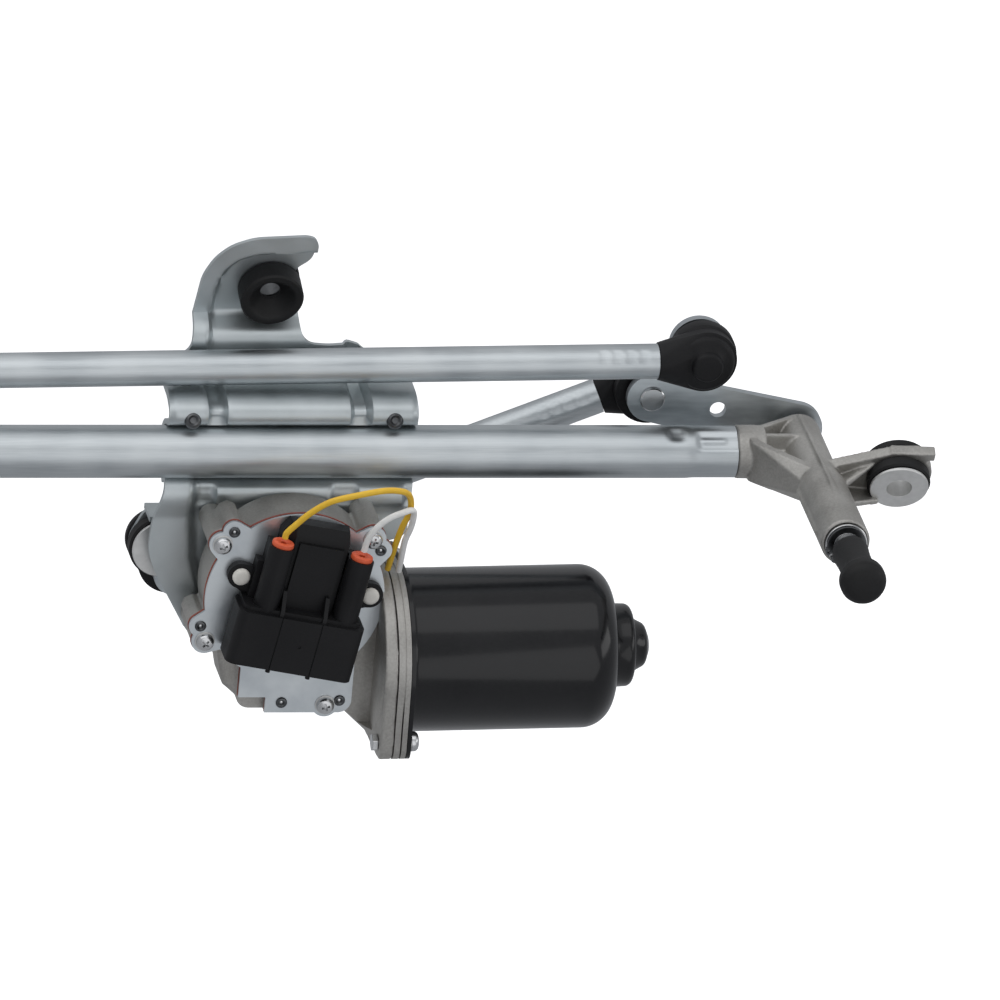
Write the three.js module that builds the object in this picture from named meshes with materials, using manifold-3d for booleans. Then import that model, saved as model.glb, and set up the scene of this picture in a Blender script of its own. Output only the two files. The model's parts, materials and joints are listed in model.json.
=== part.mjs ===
// A windshield wiper linkage with its gear motor. Units are millimetres.
// +X runs along the frame tube to the driver-side pivot. +Z runs out of the cowl, along the pivot
// shafts. The origin is on the tube's axis, behind the middle of the motor bracket.
import * as THREE from "three";
import { mergeVertices } from "three/addons/utils/BufferGeometryUtils.js";
import Module from "manifold-3d";

const wasm = await Module();
wasm.setup();

// ---- driving dimensions ----
const GAP = 0.3; // between pieces that touch
const TURN = 2 * Math.PI;

const TUBE = { radius: 12, wall: 1.6, left: -328, right: 204 };
const LINK = { radius: 8, wall: 1.2 };

const RIGHT_PIVOT = [237, 0];
const PIVOT_SPACING = 600;
const PIVOT_SLOPE = THREE.MathUtils.degToRad(0.94);
const LEFT_PIVOT = [
  RIGHT_PIVOT[0] - PIVOT_SPACING * Math.cos(PIVOT_SLOPE),
  RIGHT_PIVOT[1] - PIVOT_SPACING * Math.sin(PIVOT_SLOPE),
];
const BARREL = { bottom: -20, shoulder: 13, top: 98, radius: 11.15, lower: 10 };
const SHAFT = { radius: 6, bottom: -31, top: 124 };
const CAP = { neck: 8.5, head: 10.5, bottom: 103, headBottom: 133, top: 145 };

const LEVER = { bottom: -28, top: -24 };
const CROSS_BALL = [-47.7, 40.2]; // from a pivot, at rest
const DRIVE_BALL = [-67.4, 15.3];
const SPARE_HOLE = [-36.6, 9.8];
const CROSS_LINK_Z = -11;
const DRIVE_LINK_Z = -46;
const BALL = 7;
const NECK = 4; // of a ball stud, and of its shank

const GEAR_CENTRE = [0, -55];
const CRANK = { radius: 45.5, bottom: -30, top: -24 };
const DRIVE_BALL_REST = [RIGHT_PIVOT[0] + DRIVE_BALL[0], RIGHT_PIVOT[1] + DRIVE_BALL[1]];
const CRANK_ANGLE =
  Math.atan2(DRIVE_BALL_REST[1] - GEAR_CENTRE[1], DRIVE_BALL_REST[0] - GEAR_CENTRE[0]) + Math.PI;
const CRANK_PIN = [
  GEAR_CENTRE[0] + CRANK.radius * Math.cos(CRANK_ANGLE),
  GEAR_CENTRE[1] + CRANK.radius * Math.sin(CRANK_ANGLE),
];

const HOUSING = { back: 9, floor: 12, top: 35, cavity: 35.5, wall: 40 };
const COVER = { bottom: 36.6, top: 38.1 };
const WORM_AXIS = { y: -90, z: 21, yaw: THREE.MathUtils.degToRad(1.3) };
const WORM = { root: 3.4, tip: 4.7, pitch: 3.6, turns: 5 };
const WORM_GEAR = { tip: 29.6, root: 27.8, teeth: 32, bottom: 14, top: 28 };
const CAN = { start: 52.3, end: 150, radius: 37, wall: 1.8, corner: 14 };
const CAN_SCREW = { radius: 44, angles: [135, 315] };

const SHEET = 2.5; // bracket thickness
const MOTOR_PLATE = 1; // height of the plate's back face
const COVER_SCREWS = [[-35, -28.6], [-39.5, -76.4], [33.7, -26], [18, -108]];
const MOTOR_SCREWS = [[-29, -34], [-27, -77], [30, -38]];

const MOUNT = { rubber: 14.4, neck: 9.6, groove: 5.6, length: 16.4, sleeve: 6.5, bore: 5.75 };
const WASHER = { radius: 13.3, thick: 1.6 };

// ---- shapes ----
// A closed geometry as a manifold-3d solid, whichever way its faces turn.
function solid(geometry) {
  const bare = new THREE.BufferGeometry();
  bare.setAttribute("position", geometry.getAttribute("position"));
  if (geometry.index) bare.setIndex(geometry.index);
  const merged = mergeVertices(bare, 1e-4);
  const from = merged.index.array;
  const kept = [];
  for (let i = 0; i < from.length; i += 3) {
    const [a, b, c] = from.slice(i, i + 3);
    if (a !== b && b !== c && c !== a) kept.push(a, b, c);
  }
  const build = (list) =>
    new wasm.Manifold(
      new wasm.Mesh({
        numProp: 3,
        vertProperties: new Float32Array(merged.attributes.position.array),
        triVerts: new Uint32Array(list),
      }),
    );
  const made = build(kept);
  return made.volume() < 0 ? build(kept.reverse()) : made;
}

const join = (first, ...rest) => rest.reduce((all, one) => all.add(one), first);
const cut = (first, ...rest) => rest.reduce((all, one) => all.subtract(one), first);

// A solid of revolution about Z from [radius, height] points. It may also turn about X or lean.
function lathe(points, sides = 16) {
  const profile = points.map(([r, z]) => new THREE.Vector2(r, z));
  return new THREE.LatheGeometry(profile, sides).rotateX(Math.PI / 2);
}
const disc = (r, z0, z1, sides = 16) =>
  new THREE.CylinderGeometry(r, r, z1 - z0, sides).rotateX(Math.PI / 2).translate(0, 0, (z0 + z1) / 2);
const ring = (inner, outer, z0, z1, sides = 16) =>
  lathe([[inner, z0], [outer, z0], [outer, z1], [inner, z1], [inner, z0]], sides);
const box = (x0, x1, y0, y1, z0, z1) =>
  new THREE.BoxGeometry(x1 - x0, y1 - y0, z1 - z0).translate((x0 + x1) / 2, (y0 + y1) / 2, (z0 + z1) / 2);
const at = (geometry, [x, y], z = 0) => geometry.translate(x, y, z);
const alongX = (geometry) => geometry.rotateY(Math.PI / 2);

// A flat plate between two heights whose outline is the tight band round a set of circles.
function bandPlate(circles, z0, z1, step = 24) {
  const points = [];
  for (const [x, y, r] of circles)
    for (let a = 0; a < 360; a += step) {
      const angle = THREE.MathUtils.degToRad(a);
      points.push([x + r * Math.cos(angle), y + r * Math.sin(angle)]);
    }
  points.sort((p, q) => p[0] - q[0] || p[1] - q[1]);
  const half = (list) => {
    const kept = [];
    for (const p of list) {
      while (kept.length > 1 && turn(kept.at(-2), kept.at(-1), p) <= 1e-6) kept.pop();
      kept.push(p);
    }
    return kept.slice(0, -1);
  };
  return plate([...half(points), ...half(points.toReversed())], z0, z1);
}
const turn = (a, b, c) => (b[0] - a[0]) * (c[1] - a[1]) - (b[1] - a[1]) * (c[0] - a[0]);

function plate(outline, z0, z1) {
  const shape = new THREE.Shape(outline.map(([x, y]) => new THREE.Vector2(x, y)));
  return new THREE.ExtrudeGeometry(shape, { depth: z1 - z0, bevelEnabled: false }).translate(0, 0, z0);
}

// A round bar or tube between two points.
function bar(from, to, outer, inner = 0, sides = 16) {
  const a = new THREE.Vector3(...from);
  const b = new THREE.Vector3(...to);
  const length = a.distanceTo(b);
  const geometry = inner ? ring(inner, outer, 0, length, sides) : disc(outer, 0, length, sides);
  const aim = new THREE.Quaternion().setFromUnitVectors(
    new THREE.Vector3(0, 0, 1), b.sub(a).normalize());
  return geometry.applyQuaternion(aim).translate(...from);
}

// A slim tube along a smooth route.
function wire(points, radius, sides = 8, steps = 26) {
  const path = new THREE.CatmullRomCurve3(points.map((p) => new THREE.Vector3(...p)));
  const section = new THREE.Shape();
  section.absarc(0, 0, radius, 0, TURN);
  return new THREE.ExtrudeGeometry(section, {
    steps, curveSegments: sides / 2, bevelEnabled: false, extrudePath: path,
  });
}

// ---- scene graph ----
const assembly = new THREE.Group();
const FINISH = {
  zinc: [0xb4bbc0, 0.35, 0.9],
  steel: [0xc4c6c8, 0.3, 0.95],
  cast: [0x97938c, 0.6, 0.7],
  black_paint: [0x1c1d1f, 0.2, 0.2],
  plastic: [0x26272a, 0.6, 0],
  rubber: [0x151515, 0.85, 0],
  seal: [0xcd4b2d, 0.6, 0],
  gasket: [0x963c32, 0.8, 0],
  yellow: [0xe1b932, 0.5, 0],
  white: [0xe6e6e4, 0.5, 0],
  nylon: [0xd8d4c4, 0.5, 0],
  copper: [0xb87333, 0.4, 0.9],
  magnet: [0x3a3a3c, 0.7, 0.2],
};

function add(name, shape, finish, parent = assembly) {
  const [color, roughness, metalness] = FINISH[finish];
  const made = shape.isBufferGeometry ? solid(shape) : shape;
  const { vertProperties, triVerts } = made.getMesh();
  const geometry = new THREE.BufferGeometry();
  geometry.setAttribute("position", new THREE.BufferAttribute(vertProperties, 3));
  geometry.setIndex(new THREE.BufferAttribute(triVerts, 1));
  geometry.computeVertexNormals();
  const mesh = new THREE.Mesh(geometry, new THREE.MeshStandardMaterial({ color, roughness, metalness }));
  mesh.name = name;
  parent.add(mesh);
  return mesh;
}

// ---- frame tube and pivot housings ----
function frameTube() {
  const { radius, wall, left, right } = TUBE;
  add("frame_tube", bar([left, 0, 0], [right, 0, 0], radius, radius - wall), "zinc");
}

// An upright web, thin across Y, from its [x, z] outline.
const upright = (outline, y0, y1) => plate(outline, -y1, -y0).rotateX(Math.PI / 2);

// A cast housing with the pivot at the origin, the tube on its -X side and the ear on its +X side.
function pivotHousing(tubeEnd, tubeY) {
  const { bottom, shoulder, top, radius, lower } = BARREL;
  const face = tubeEnd + GAP;
  const spigot = TUBE.radius - TUBE.wall - GAP;
  const webs = [-8.5, 0, 8.5].map((y) =>
    upright([[face + 4, -9], [face + 4, 9], [-9, 62 - Math.abs(y) * 4], [-2, 50], [-2, -18]],
      tubeY * 0.5 + y - 1.6, tubeY * 0.5 + y + 1.6));
  const body = join(
    solid(disc(lower, bottom, shoulder + 2)),
    solid(disc(radius, shoulder, top)),
    solid(bar([tubeEnd - 26, tubeY, 0], [face + 1, tubeY, 0], spigot)),
    solid(bar([face, tubeY, 0], [face + 8, tubeY, 0], TUBE.radius + 1.2)),
    solid(bandPlate([[face + 6, tubeY, 10], [0, 0, 10.5]], -5, 2)),
    ...webs.map(solid),
    earPlate(),
  );
  return cut(body, solid(disc(SHAFT.radius + GAP, bottom - 1, top + 1)));
}

const EAR = { face: [35.7, 0, 40], lean: [-0.047, -0.43, 0.9], front: 7.6, back: 12.8 };

function aimed(geometry, position, axis) {
  const turned = new THREE.Quaternion().setFromUnitVectors(
    new THREE.Vector3(0, 0, 1), new THREE.Vector3(...axis).normalize());
  return geometry.applyQuaternion(turned).translate(...position);
}

function earPlate() {
  const arm = bandPlate([[0, 0, 15.5], [-28, -3, 8]], -EAR.back, -EAR.front);
  const rail = box(-24, 15.2, 10.4, 15.5, -EAR.back, -EAR.front);
  const hole = disc(MOUNT.neck + GAP, -EAR.back - 1, -EAR.front + 1);
  const whole = join(solid(aimed(arm, EAR.face, EAR.lean)), solid(aimed(rail, EAR.face, EAR.lean)));
  return cut(whole, solid(aimed(hole, EAR.face, EAR.lean)));
}

function mirrored(shape) {
  const { vertProperties, triVerts } = shape.getMesh();
  const geometry = new THREE.BufferGeometry();
  geometry.setAttribute("position", new THREE.BufferAttribute(vertProperties, 3));
  geometry.setIndex(new THREE.BufferAttribute(triVerts, 1));
  return solid(geometry.scale(-1, 1, 1));
}

function pivotHousings() {
  add("right_pivot_housing", pivotHousing(TUBE.right - RIGHT_PIVOT[0], 0), "cast")
    .position.set(...RIGHT_PIVOT, 0);
  const left = pivotHousing(LEFT_PIVOT[0] - TUBE.left, -LEFT_PIVOT[1]);
  add("left_pivot_housing", mirrored(left), "cast").position.set(...LEFT_PIVOT, 0);
}

// ---- rubber mounts: a grooved grommet and a steel sleeve with a washer flange ----
function rubberMount(name, position, axis, front, back, washerInFront = true) {
  const top = washerInFront ? -WASHER.thick - GAP : 0;
  const bore = MOUNT.sleeve + GAP;
  const end = -back - 4.4;
  const grommet = lathe([
    [bore, top - 3], [bore + 4, top], [MOUNT.rubber, top], [MOUNT.rubber, GAP - front],
    [MOUNT.neck, GAP - front], [MOUNT.neck, -back - GAP], [MOUNT.rubber, -back - GAP],
    [MOUNT.rubber, end], [bore, end], [bore, top - 3],
  ]);
  const washer = washerInFront ? [-WASHER.thick, 0] : [end - GAP - WASHER.thick, end - GAP];
  const start = washerInFront ? -0.1 : -1.5;
  const sleeve = cut(
    join(
      solid(disc(MOUNT.sleeve, Math.min(end, washer[0]), start)),
      solid(disc(WASHER.radius, washer[0], washer[1]))),
    solid(disc(MOUNT.bore, end - 5, 2)),
  );
  const group = new THREE.Group();
  group.position.set(...position);
  group.quaternion.setFromUnitVectors(
    new THREE.Vector3(0, 0, 1), new THREE.Vector3(...axis).normalize());
  assembly.add(group);
  add(name + "_grommet", grommet, "rubber", group);
  add(name + "_sleeve", sleeve, "steel", group);
}

function rubberMounts() {
  const [x, y, z] = EAR.face;
  const [leanX, leanY, leanZ] = EAR.lean;
  rubberMount("right", [RIGHT_PIVOT[0] + x, RIGHT_PIVOT[1] + y, z], EAR.lean, EAR.front, EAR.back);
  rubberMount("left", [LEFT_PIVOT[0] - x, LEFT_PIVOT[1] + y, z], [-leanX, leanY, leanZ],
    EAR.front, EAR.back);
  const upper = UPPER_SEAT;
  rubberMount("upper", upper.face, upper.axis, upper.depth, upper.depth + SHEET, false);
  const lower = LOWER_SEAT;
  rubberMount("lower", lower.face, [0, 0, 1], lower.depth, lower.depth + SHEET);
}

// ---- motor bracket: one stamped sheet that wraps behind the tube ----
const UPPER_SEAT = { face: [-9.2, 64.2, -22.5], axis: [0, -0.2745, 0.9616], depth: 11 };
const LOWER_SEAT = { face: [-54.6, -49.7, -2], depth: 8.7 };

// Each [y, z] point is on the middle of the sheet, from the foot to the top edge.
const CHANNEL = Array.from({ length: 9 }, (_, i) => {
  const angle = Math.PI + (i / 8) * Math.PI;
  return [14 * Math.cos(angle), 14 * Math.sin(angle)];
});
const PROFILE = [
  [-104, 2.25], [-26.5, 2.25], [-23, 4.5], [-16, 4.5], ...CHANNEL, [15.5, 3.5], [20.5, 4], [23.8, 0.5],
  [25.2, -6], [25.6, -22], [30, -26.5], [45, -27], [51.5, -38.9], [110, -22.2],
];
const LOBE = [
  [-60, 26], [-52, 34], [-45, 41], [-43.5, 52], [-41.5, 75], [-37, 85], [-30, 92], [-20, 96],
  [5, 97.5], [9, 94], [9, 87], [6, 80], [8, 58], [11, 44], [18, 41], [40, 40], [57, 30],
];
const FOOT = [
  [57, -12], [56, -40], [38, -46], [24, -56], [15, -68], [14, -99], [-26, -99], [-41, -88], [-59, -56],
  [-62.5, -46], [-62, -12],
];

// The outline of a band of even thickness along a line of points.
function bandOutline(line, thick) {
  const side = (sign) => line.map((p, i) => {
    const a = line[Math.max(i - 1, 0)];
    const b = line[Math.min(i + 1, line.length - 1)];
    const inward = new THREE.Vector2(p[0] - a[0], p[1] - a[1]).normalize();
    const onward = new THREE.Vector2(b[0] - p[0], b[1] - p[1]).normalize();
    const along = inward.clone().add(onward).normalize();
    const reach = (sign * thick) / 2 / Math.max(0.5, along.dot(inward.lengthSq() ? inward : onward));
    return [p[0] - along.y * reach, p[1] + along.x * reach];
  });
  return [...side(1), ...side(-1).toReversed()];
}

// A band of the sheet's profile, drawn in Y and Z and pulled along X.
function pressed(line, thick) {
  const across = new THREE.Matrix4().makeBasis(
    new THREE.Vector3(0, 1, 0), new THREE.Vector3(0, 0, 1), new THREE.Vector3(1, 0, 0));
  return solid(plate(bandOutline(line, thick), -80, 80).applyMatrix4(across));
}

function motorBracket() {
  const outline = [...LOBE, ...FOOT];
  const silhouette = solid(plate(outline, -60, 30));
  const edge = LOBE.slice(3, 10);
  const inner = solid(plate([...inset(edge, 2.6), [30, 80], [20, 40], [-41, 40]], -60, 30));
  const rimBand = pressed(PROFILE.slice(-2).map(([y, z]) => [y, z + 4.2]), 9.5);
  const rimArea = solid(plate(edge, -60, 30));
  const rim = cut(rimArea.intersect(rimBand), inner);
  const tab = join(
    solid(bandPlate([[-54.6, -49.7, 13.5], [-54, -42, 10.6]], -13.2, -10.7)),
    solid(box(-62, -45.5, -34, -31.5, -13.2, 2)),
  );
  const seat = (position, axis, depth) =>
    solid(aimed(disc(MOUNT.neck + GAP, -depth - 8, -depth + 6), position, axis));
  return cut(
    join(pressed(PROFILE, SHEET).intersect(silhouette), rim, tab),
    seat(UPPER_SEAT.face, UPPER_SEAT.axis, UPPER_SEAT.depth),
    seat(LOWER_SEAT.face, [0, 0, 1], LOWER_SEAT.depth + 3),
    solid(at(disc(17, -2, 8), GEAR_CENTRE)),
    ...MOTOR_SCREWS.map((place) => solid(at(disc(3.3, -2, 8, 12), place))),
  );
}

// An open line of points moved inwards, towards the side on its left hand, then closed.
function inset(line, by) {
  const centre = line.reduce(([x, y], p) => [x + p[0] / line.length, y + p[1] / line.length], [0, 0]);
  return line.map(([x, y]) => {
    const reach = Math.hypot(centre[0] - x, centre[1] - y);
    return [x + ((centre[0] - x) / reach) * by, y + ((centre[1] - y) / reach) * by];
  });
}

// ---- levers, pivot shafts and ball studs ----
// A profile that ends in a ball on the axis, after its neck.
function balled(points, centre) {
  const start = Math.asin(NECK / BALL);
  const arc = Array.from({ length: 6 }, (_, i) => {
    const angle = start + (i / 5) * (Math.PI - start);
    return [i === 5 ? 0 : BALL * Math.sin(angle), centre - BALL * Math.cos(angle)];
  });
  return [...points, ...arc];
}

// A ball stud on +Z whose shank is riveted through a plate centred on z = 0.
function ballStud(reach) {
  const half = (LEVER.top - LEVER.bottom) / 2 + GAP;
  return lathe(balled([
    [0, -half - 2], [4.8, -half - 1.8], [5.6, -half - 1], [5.6, -half], [4, -half], [4, half],
    [6.5, half], [6.5, half + 2.2], [4, half + 2.8],
  ], reach), 12);
}

function lever(name, balls, bodies) {
  const { bottom, top } = LEVER;
  const hub = [0, 0, 12.5];
  const arms = balls.map(([x, y]) => [x, y, 11.5]);
  const holes = balls.map(([x, y]) => solid(at(disc(4 + GAP, bottom - 1, top + 1), [x, y])));
  const [cross, drive] = arms;
  const plateBody = drive
    ? join(solid(bandPlate([hub, drive], bottom, top)),
      solid(bandPlate([cross, [-53, 17, 12.5]], bottom, top)))
    : solid(bandPlate([hub, cross], bottom, top));
  const bore = solid(disc(SHAFT.radius + GAP, bottom - 1, top + 1));
  const spare = solid(at(disc(3.7, bottom - 1, top + 1), SPARE_HOLE));
  const cuts = balls.length > 1 ? [...holes, bore, spare] : [...holes, bore];
  add(name, cut(plateBody, ...cuts), "zinc", bodies);
}

function pivot(side, place, balls) {
  const group = new THREE.Group();
  group.position.set(...place, 0);
  assembly.add(group);
  lever(side + "_lever", balls, group);
  const middle = (LEVER.bottom + LEVER.top) / 2;
  add(side + "_cross_stud", ballStud(CROSS_LINK_Z - middle), "steel", group)
    .position.set(...CROSS_BALL, middle);
  if (balls.length > 1) {
    const stud = add(side + "_drive_stud", ballStud(middle - DRIVE_LINK_Z), "steel", group);
    stud.position.set(...DRIVE_BALL, middle);
    stud.rotation.x = Math.PI;
  }
  const shaft = lathe([
    [0, SHAFT.bottom], [9, SHAFT.bottom], [9, LEVER.bottom - GAP], [SHAFT.radius, LEVER.bottom - GAP],
    [SHAFT.radius, 101], [5.2, 103], [4.4, 110], [4.4, SHAFT.top], [0, SHAFT.top],
  ]);
  add(side + "_pivot_shaft", shaft, "steel", group);
  const { neck, head, bottom, headBottom, top } = CAP;
  const cap = lathe([
    [0, top], [6, top], [9.5, top - 1.2], [head, top - 4], [head, headBottom + 4],
    [neck + 0.6, headBottom], [neck, headBottom - 2], [neck, bottom], [6.4, bottom], [6.4, SHAFT.top + 2],
    [0, SHAFT.top + 2],
  ]);
  add(side + "_cap", cap, "rubber", group);
  add(side + "_washer", ring(SHAFT.radius + GAP, 9.6, BARREL.top + GAP, 99.6), "steel", group);
  add(side + "_circlip", circlip(), "steel", group);
}

// An open spring ring with two lugs at its gap.
function circlip() {
  const lug = (y) => solid(at(disc(2.2, 100, 101.2, 12), [9.6, y]));
  const whole = join(solid(ring(SHAFT.radius + GAP, 9, 100, 101.2)), lug(2.4), lug(-2.4));
  return cut(whole, solid(box(4, 14, -0.9, 0.9, 99, 102))).rotate([0, 0, 218]);
}

// ---- link tubes with moulded ball sockets ----
// A socket round a ball at the origin, open towards +Z, with a spigot along +X for its tube.
const TUBE_START = 22;
function socket(base) {
  const outer = lathe([
    [0, -9.5], [6, -9.5], [7.2, -8.4], [7.6, -6.6], [11.5, -4.6], [14.6, base - 6.5],
    [15.5, base - 4.5], [15.5, base], [0, base],
  ]);
  const pocket = Array.from({ length: 5 }, (_, i) => {
    const angle = THREE.MathUtils.degToRad(54 + i * 31.5);
    return [(BALL + 2 * GAP) * Math.sin(angle), (BALL + 2 * GAP) * Math.cos(angle)];
  });
  const hollow = lathe([
    [0, base + 1], [10, base + 1], [9.4, 7], ...pocket.map(([r, z], i) => [i === 4 ? 0 : r, z]),
  ], 12);
  return cut(
    join(
      solid(outer),
      solid(bar([6, 0, 0], [TUBE_START - GAP, 0, 0], LINK.radius + 0.6)),
      solid(bar([10, 0, 0], [TUBE_START + 10, 0, 0], LINK.radius - LINK.wall - GAP))),
    solid(hollow),
  );
}

function link(name, from, to, z, open, ends) {
  const length = Math.hypot(to[0] - from[0], to[1] - from[1]);
  const group = new THREE.Group();
  group.position.set(...from, z);
  group.rotation.z = Math.atan2(to[1] - from[1], to[0] - from[0]);
  assembly.add(group);
  const tube = bar([TUBE_START, 0, 0], [length - TUBE_START, 0, 0], LINK.radius, LINK.radius - LINK.wall);
  add(name + "_tube", tube, "zinc", group);
  const near = add(`${name}_${ends[0].name}_socket`, socket(ends[0].base), "plastic", group);
  const far = add(`${name}_${ends[1].name}_socket`, socket(ends[1].base), "plastic", group);
  far.position.x = length;
  near.rotation.x = open < 0 ? Math.PI : 0;
  far.rotation.set(open < 0 ? Math.PI : 0, 0, Math.PI);
  return group;
}

function links() {
  const ball = ([x, y], [dx, dy]) => [x + dx, y + dy];
  link("cross_link", ball(LEFT_PIVOT, CROSS_BALL), ball(RIGHT_PIVOT, CROSS_BALL), CROSS_LINK_Z, -1,
    [{ name: "left", base: 10.4 }, { name: "right", base: 10.4 }]);
  link("drive_link", CRANK_PIN, DRIVE_BALL_REST, DRIVE_LINK_Z, 1,
    [{ name: "crank", base: 8.4 }, { name: "lever", base: 15 }]);
  // The stud's foot runs just clear of the crank eye.
  const reach = CRANK.bottom - GAP - DRIVE_LINK_Z;
  const foot = lathe(balled([[0, -reach], [7, -reach], [7, 2.4 - reach], [4, 3.2 - reach]], 0), 12);
  const stud = add("crank_ball_stud", foot, "steel");
  stud.position.set(...CRANK_PIN, DRIVE_LINK_Z);
  stud.rotation.x = Math.PI;
}

// ---- crank and gear train ----
function toothed(teeth, tip, root) {
  const outline = [];
  for (let i = 0; i < teeth; i++)
    for (const [share, r] of [[0, root], [0.3, tip], [0.6, tip], [0.85, root]]) {
      const angle = ((i + share) / teeth) * TURN;
      outline.push([r * Math.cos(angle), r * Math.sin(angle)]);
    }
  return outline;
}

function crank() {
  const group = new THREE.Group();
  group.position.set(...GEAR_CENTRE, 0);
  assembly.add(group);
  const pin = [CRANK_PIN[0] - GEAR_CENTRE[0], CRANK_PIN[1] - GEAR_CENTRE[1]];
  const arm = cut(
    join(
      solid(bandPlate([[0, 0, 12.5], [...pin, 10.5]], CRANK.bottom, CRANK.top)),
      solid(at(disc(5.6, CRANK.top - 1, CRANK.top + 2.2), pin))),
    solid(disc(5 + GAP, CRANK.bottom - 1, CRANK.top + 1)),
  );
  add("crank_arm", arm, "zinc", group);
  const nut = cut(solid(disc(8.6, -36.3, CRANK.bottom - GAP, 6)), solid(disc(5 + GAP, -40, -20)));
  add("crank_nut", nut, "steel", group);
  add("output_shaft", disc(5, -36.9, 33), "steel", group);
  const { teeth, tip, root, bottom, top } = WORM_GEAR;
  const gear = cut(solid(plate(toothed(teeth, tip, root), bottom, top)),
    solid(disc(5 + GAP, bottom - 1, top + 1)),
    solid(ring(11, 24, top - 4, top + 1)));
  add("worm_gear", gear, "nylon", group);
}

// ---- gear housing, gasket, cover ----
const COVER_FOOT = [[-16, -106, 6], [24, -106, 6], [24, -84, 6], [-16, -84, 6]];
const TOE = [[-33, -78], [-31.7, -88], [-29, -100], [-17, -110.5], [0, -110.5], [0, -78]];

function coverPlate(z0, z1, grow = 0) {
  const disk = solid(at(disc(41 + grow, z0, z1, 28), GEAR_CENTRE));
  const foot = solid(bandPlate(COVER_FOOT.map(([x, y, r]) => [x, y, r + grow]), z0, z1));
  const lugs = COVER_SCREWS.map(([x, y]) => {
    const root = [x * 0.7, GEAR_CENTRE[1] + (y - GEAR_CENTRE[1]) * 0.7, 9];
    return solid(bandPlate([[x, y, 6], root], z0, z1));
  });
  return cut(join(disk, foot, ...lugs), solid(box(-30, -9.5, -120, -104.4, z0 - 1, z1 + 1)));
}
const coverHoles = (z0, z1, r) => COVER_SCREWS.map((place) => solid(at(disc(r, z0, z1, 12), place)));

const FLANGE = { cast: [40, 46], plate: [46.3, 52], can: [52.3, 54.1] };

// A round flange across X with two screw ears.
function flange([x0, x1], r) {
  const ears = CAN_SCREW.angles.map((a) => {
    const angle = THREE.MathUtils.degToRad(a);
    return [-CAN_SCREW.radius * Math.sin(angle), CAN_SCREW.radius * Math.cos(angle), 8];
  });
  const holes = ears.map((ear) => solid(alongX(at(disc(2.4, x0 - 1, x1 + 1, 12), ear))));
  return cut(solid(alongX(bandPlate([[0, 0, r], ...ears], x0, x1))), ...holes);
}

// Moves a solid from the motor's own frame, whose X is the worm's axis, into the assembly's.
function fromMotor(shape) {
  const { vertProperties, triVerts } = shape.getMesh();
  const geometry = new THREE.BufferGeometry();
  geometry.setAttribute("position", new THREE.BufferAttribute(vertProperties, 3));
  geometry.setIndex(new THREE.BufferAttribute(triVerts, 1));
  return solid(geometry.rotateZ(WORM_AXIS.yaw).translate(0, WORM_AXIS.y, WORM_AXIS.z));
}

function gearHousing() {
  const { back, floor, top, cavity, wall } = HOUSING;
  const mouth = FLANGE.cast[0] + 1;
  const neck = alongX(lathe(
    [[0, 0], [11.5, 0], [11.5, 12], [17, 19], [24, 25], [39, mouth], [0, mouth]], 28));
  const seat = MOTOR_PLATE + SHEET + GAP;
  const feet = MOTOR_SCREWS.map((place) => solid(at(disc(6.5, seat, back + 1), place)));
  const lugs = COVER_SCREWS.map((place) => solid(at(disc(5.8, 20, top), place)));
  const body = join(
    solid(at(disc(wall, back, top, 28), GEAR_CENTRE)),
    cut(solid(bandPlate(COVER_FOOT, back, top)), solid(box(-30, -9.5, -120, -104.4, 33, top + 1))),
    solid(plate(TOE, back + 3, 33.4)),
    solid(at(disc(11, -16, back + 1), GEAR_CENTRE)),
    ...feet, ...lugs,
    fromMotor(solid(neck)),
    fromMotor(flange(FLANGE.cast, 41)),
  );
  const wormTunnel = join(
    solid(bar([-19, 0, 0], [FLANGE.cast[1] + 1, 0, 0], 7.5)),
    solid(alongX(disc(30, FLANGE.cast[1] - 4, FLANGE.cast[1] + 1))));
  return cut(body,
    coverPlate(top, top + 40, 1),
    solid(at(disc(cavity, floor, top + 1, 28), GEAR_CENTRE)),
    solid(at(disc(5 + GAP, -17, floor + 1), GEAR_CENTRE)),
    fromMotor(wormTunnel),
    ...coverHoles(24, top + 1, 2 + GAP));
}

function gearCase() {
  add("gear_housing", gearHousing(), "cast");
  const { bottom, top } = COVER;
  const seal = [HOUSING.top + GAP, bottom - GAP];
  const opening = solid(at(disc(HOUSING.cavity, seal[0] - 1, seal[1] + 1, 28), GEAR_CENTRE));
  add("housing_gasket", cut(coverPlate(...seal), opening, ...coverHoles(30, 40, 2.5)), "gasket");
  add("gear_cover", cut(coverPlate(bottom, top), ...coverHoles(30, 40, 2.3)), "zinc");
  COVER_SCREWS.forEach((place, i) => {
    const screw = lathe([
      [0, 25], [2, 25], [2, top + GAP], [4, top + GAP], [4, top + 1.8], [3.2, top + 2.9], [0, top + 3.2],
    ]);
    const slots = [solid(box(-2.4, 2.4, -0.5, 0.5, top + 1.6, top + 4)),
      solid(box(-0.5, 0.5, -2.4, 2.4, top + 1.6, top + 4))];
    add(`cover_screw_${i + 1}`, cut(solid(screw), ...slots), "steel").position.set(...place, 0);
  });
}

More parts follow.
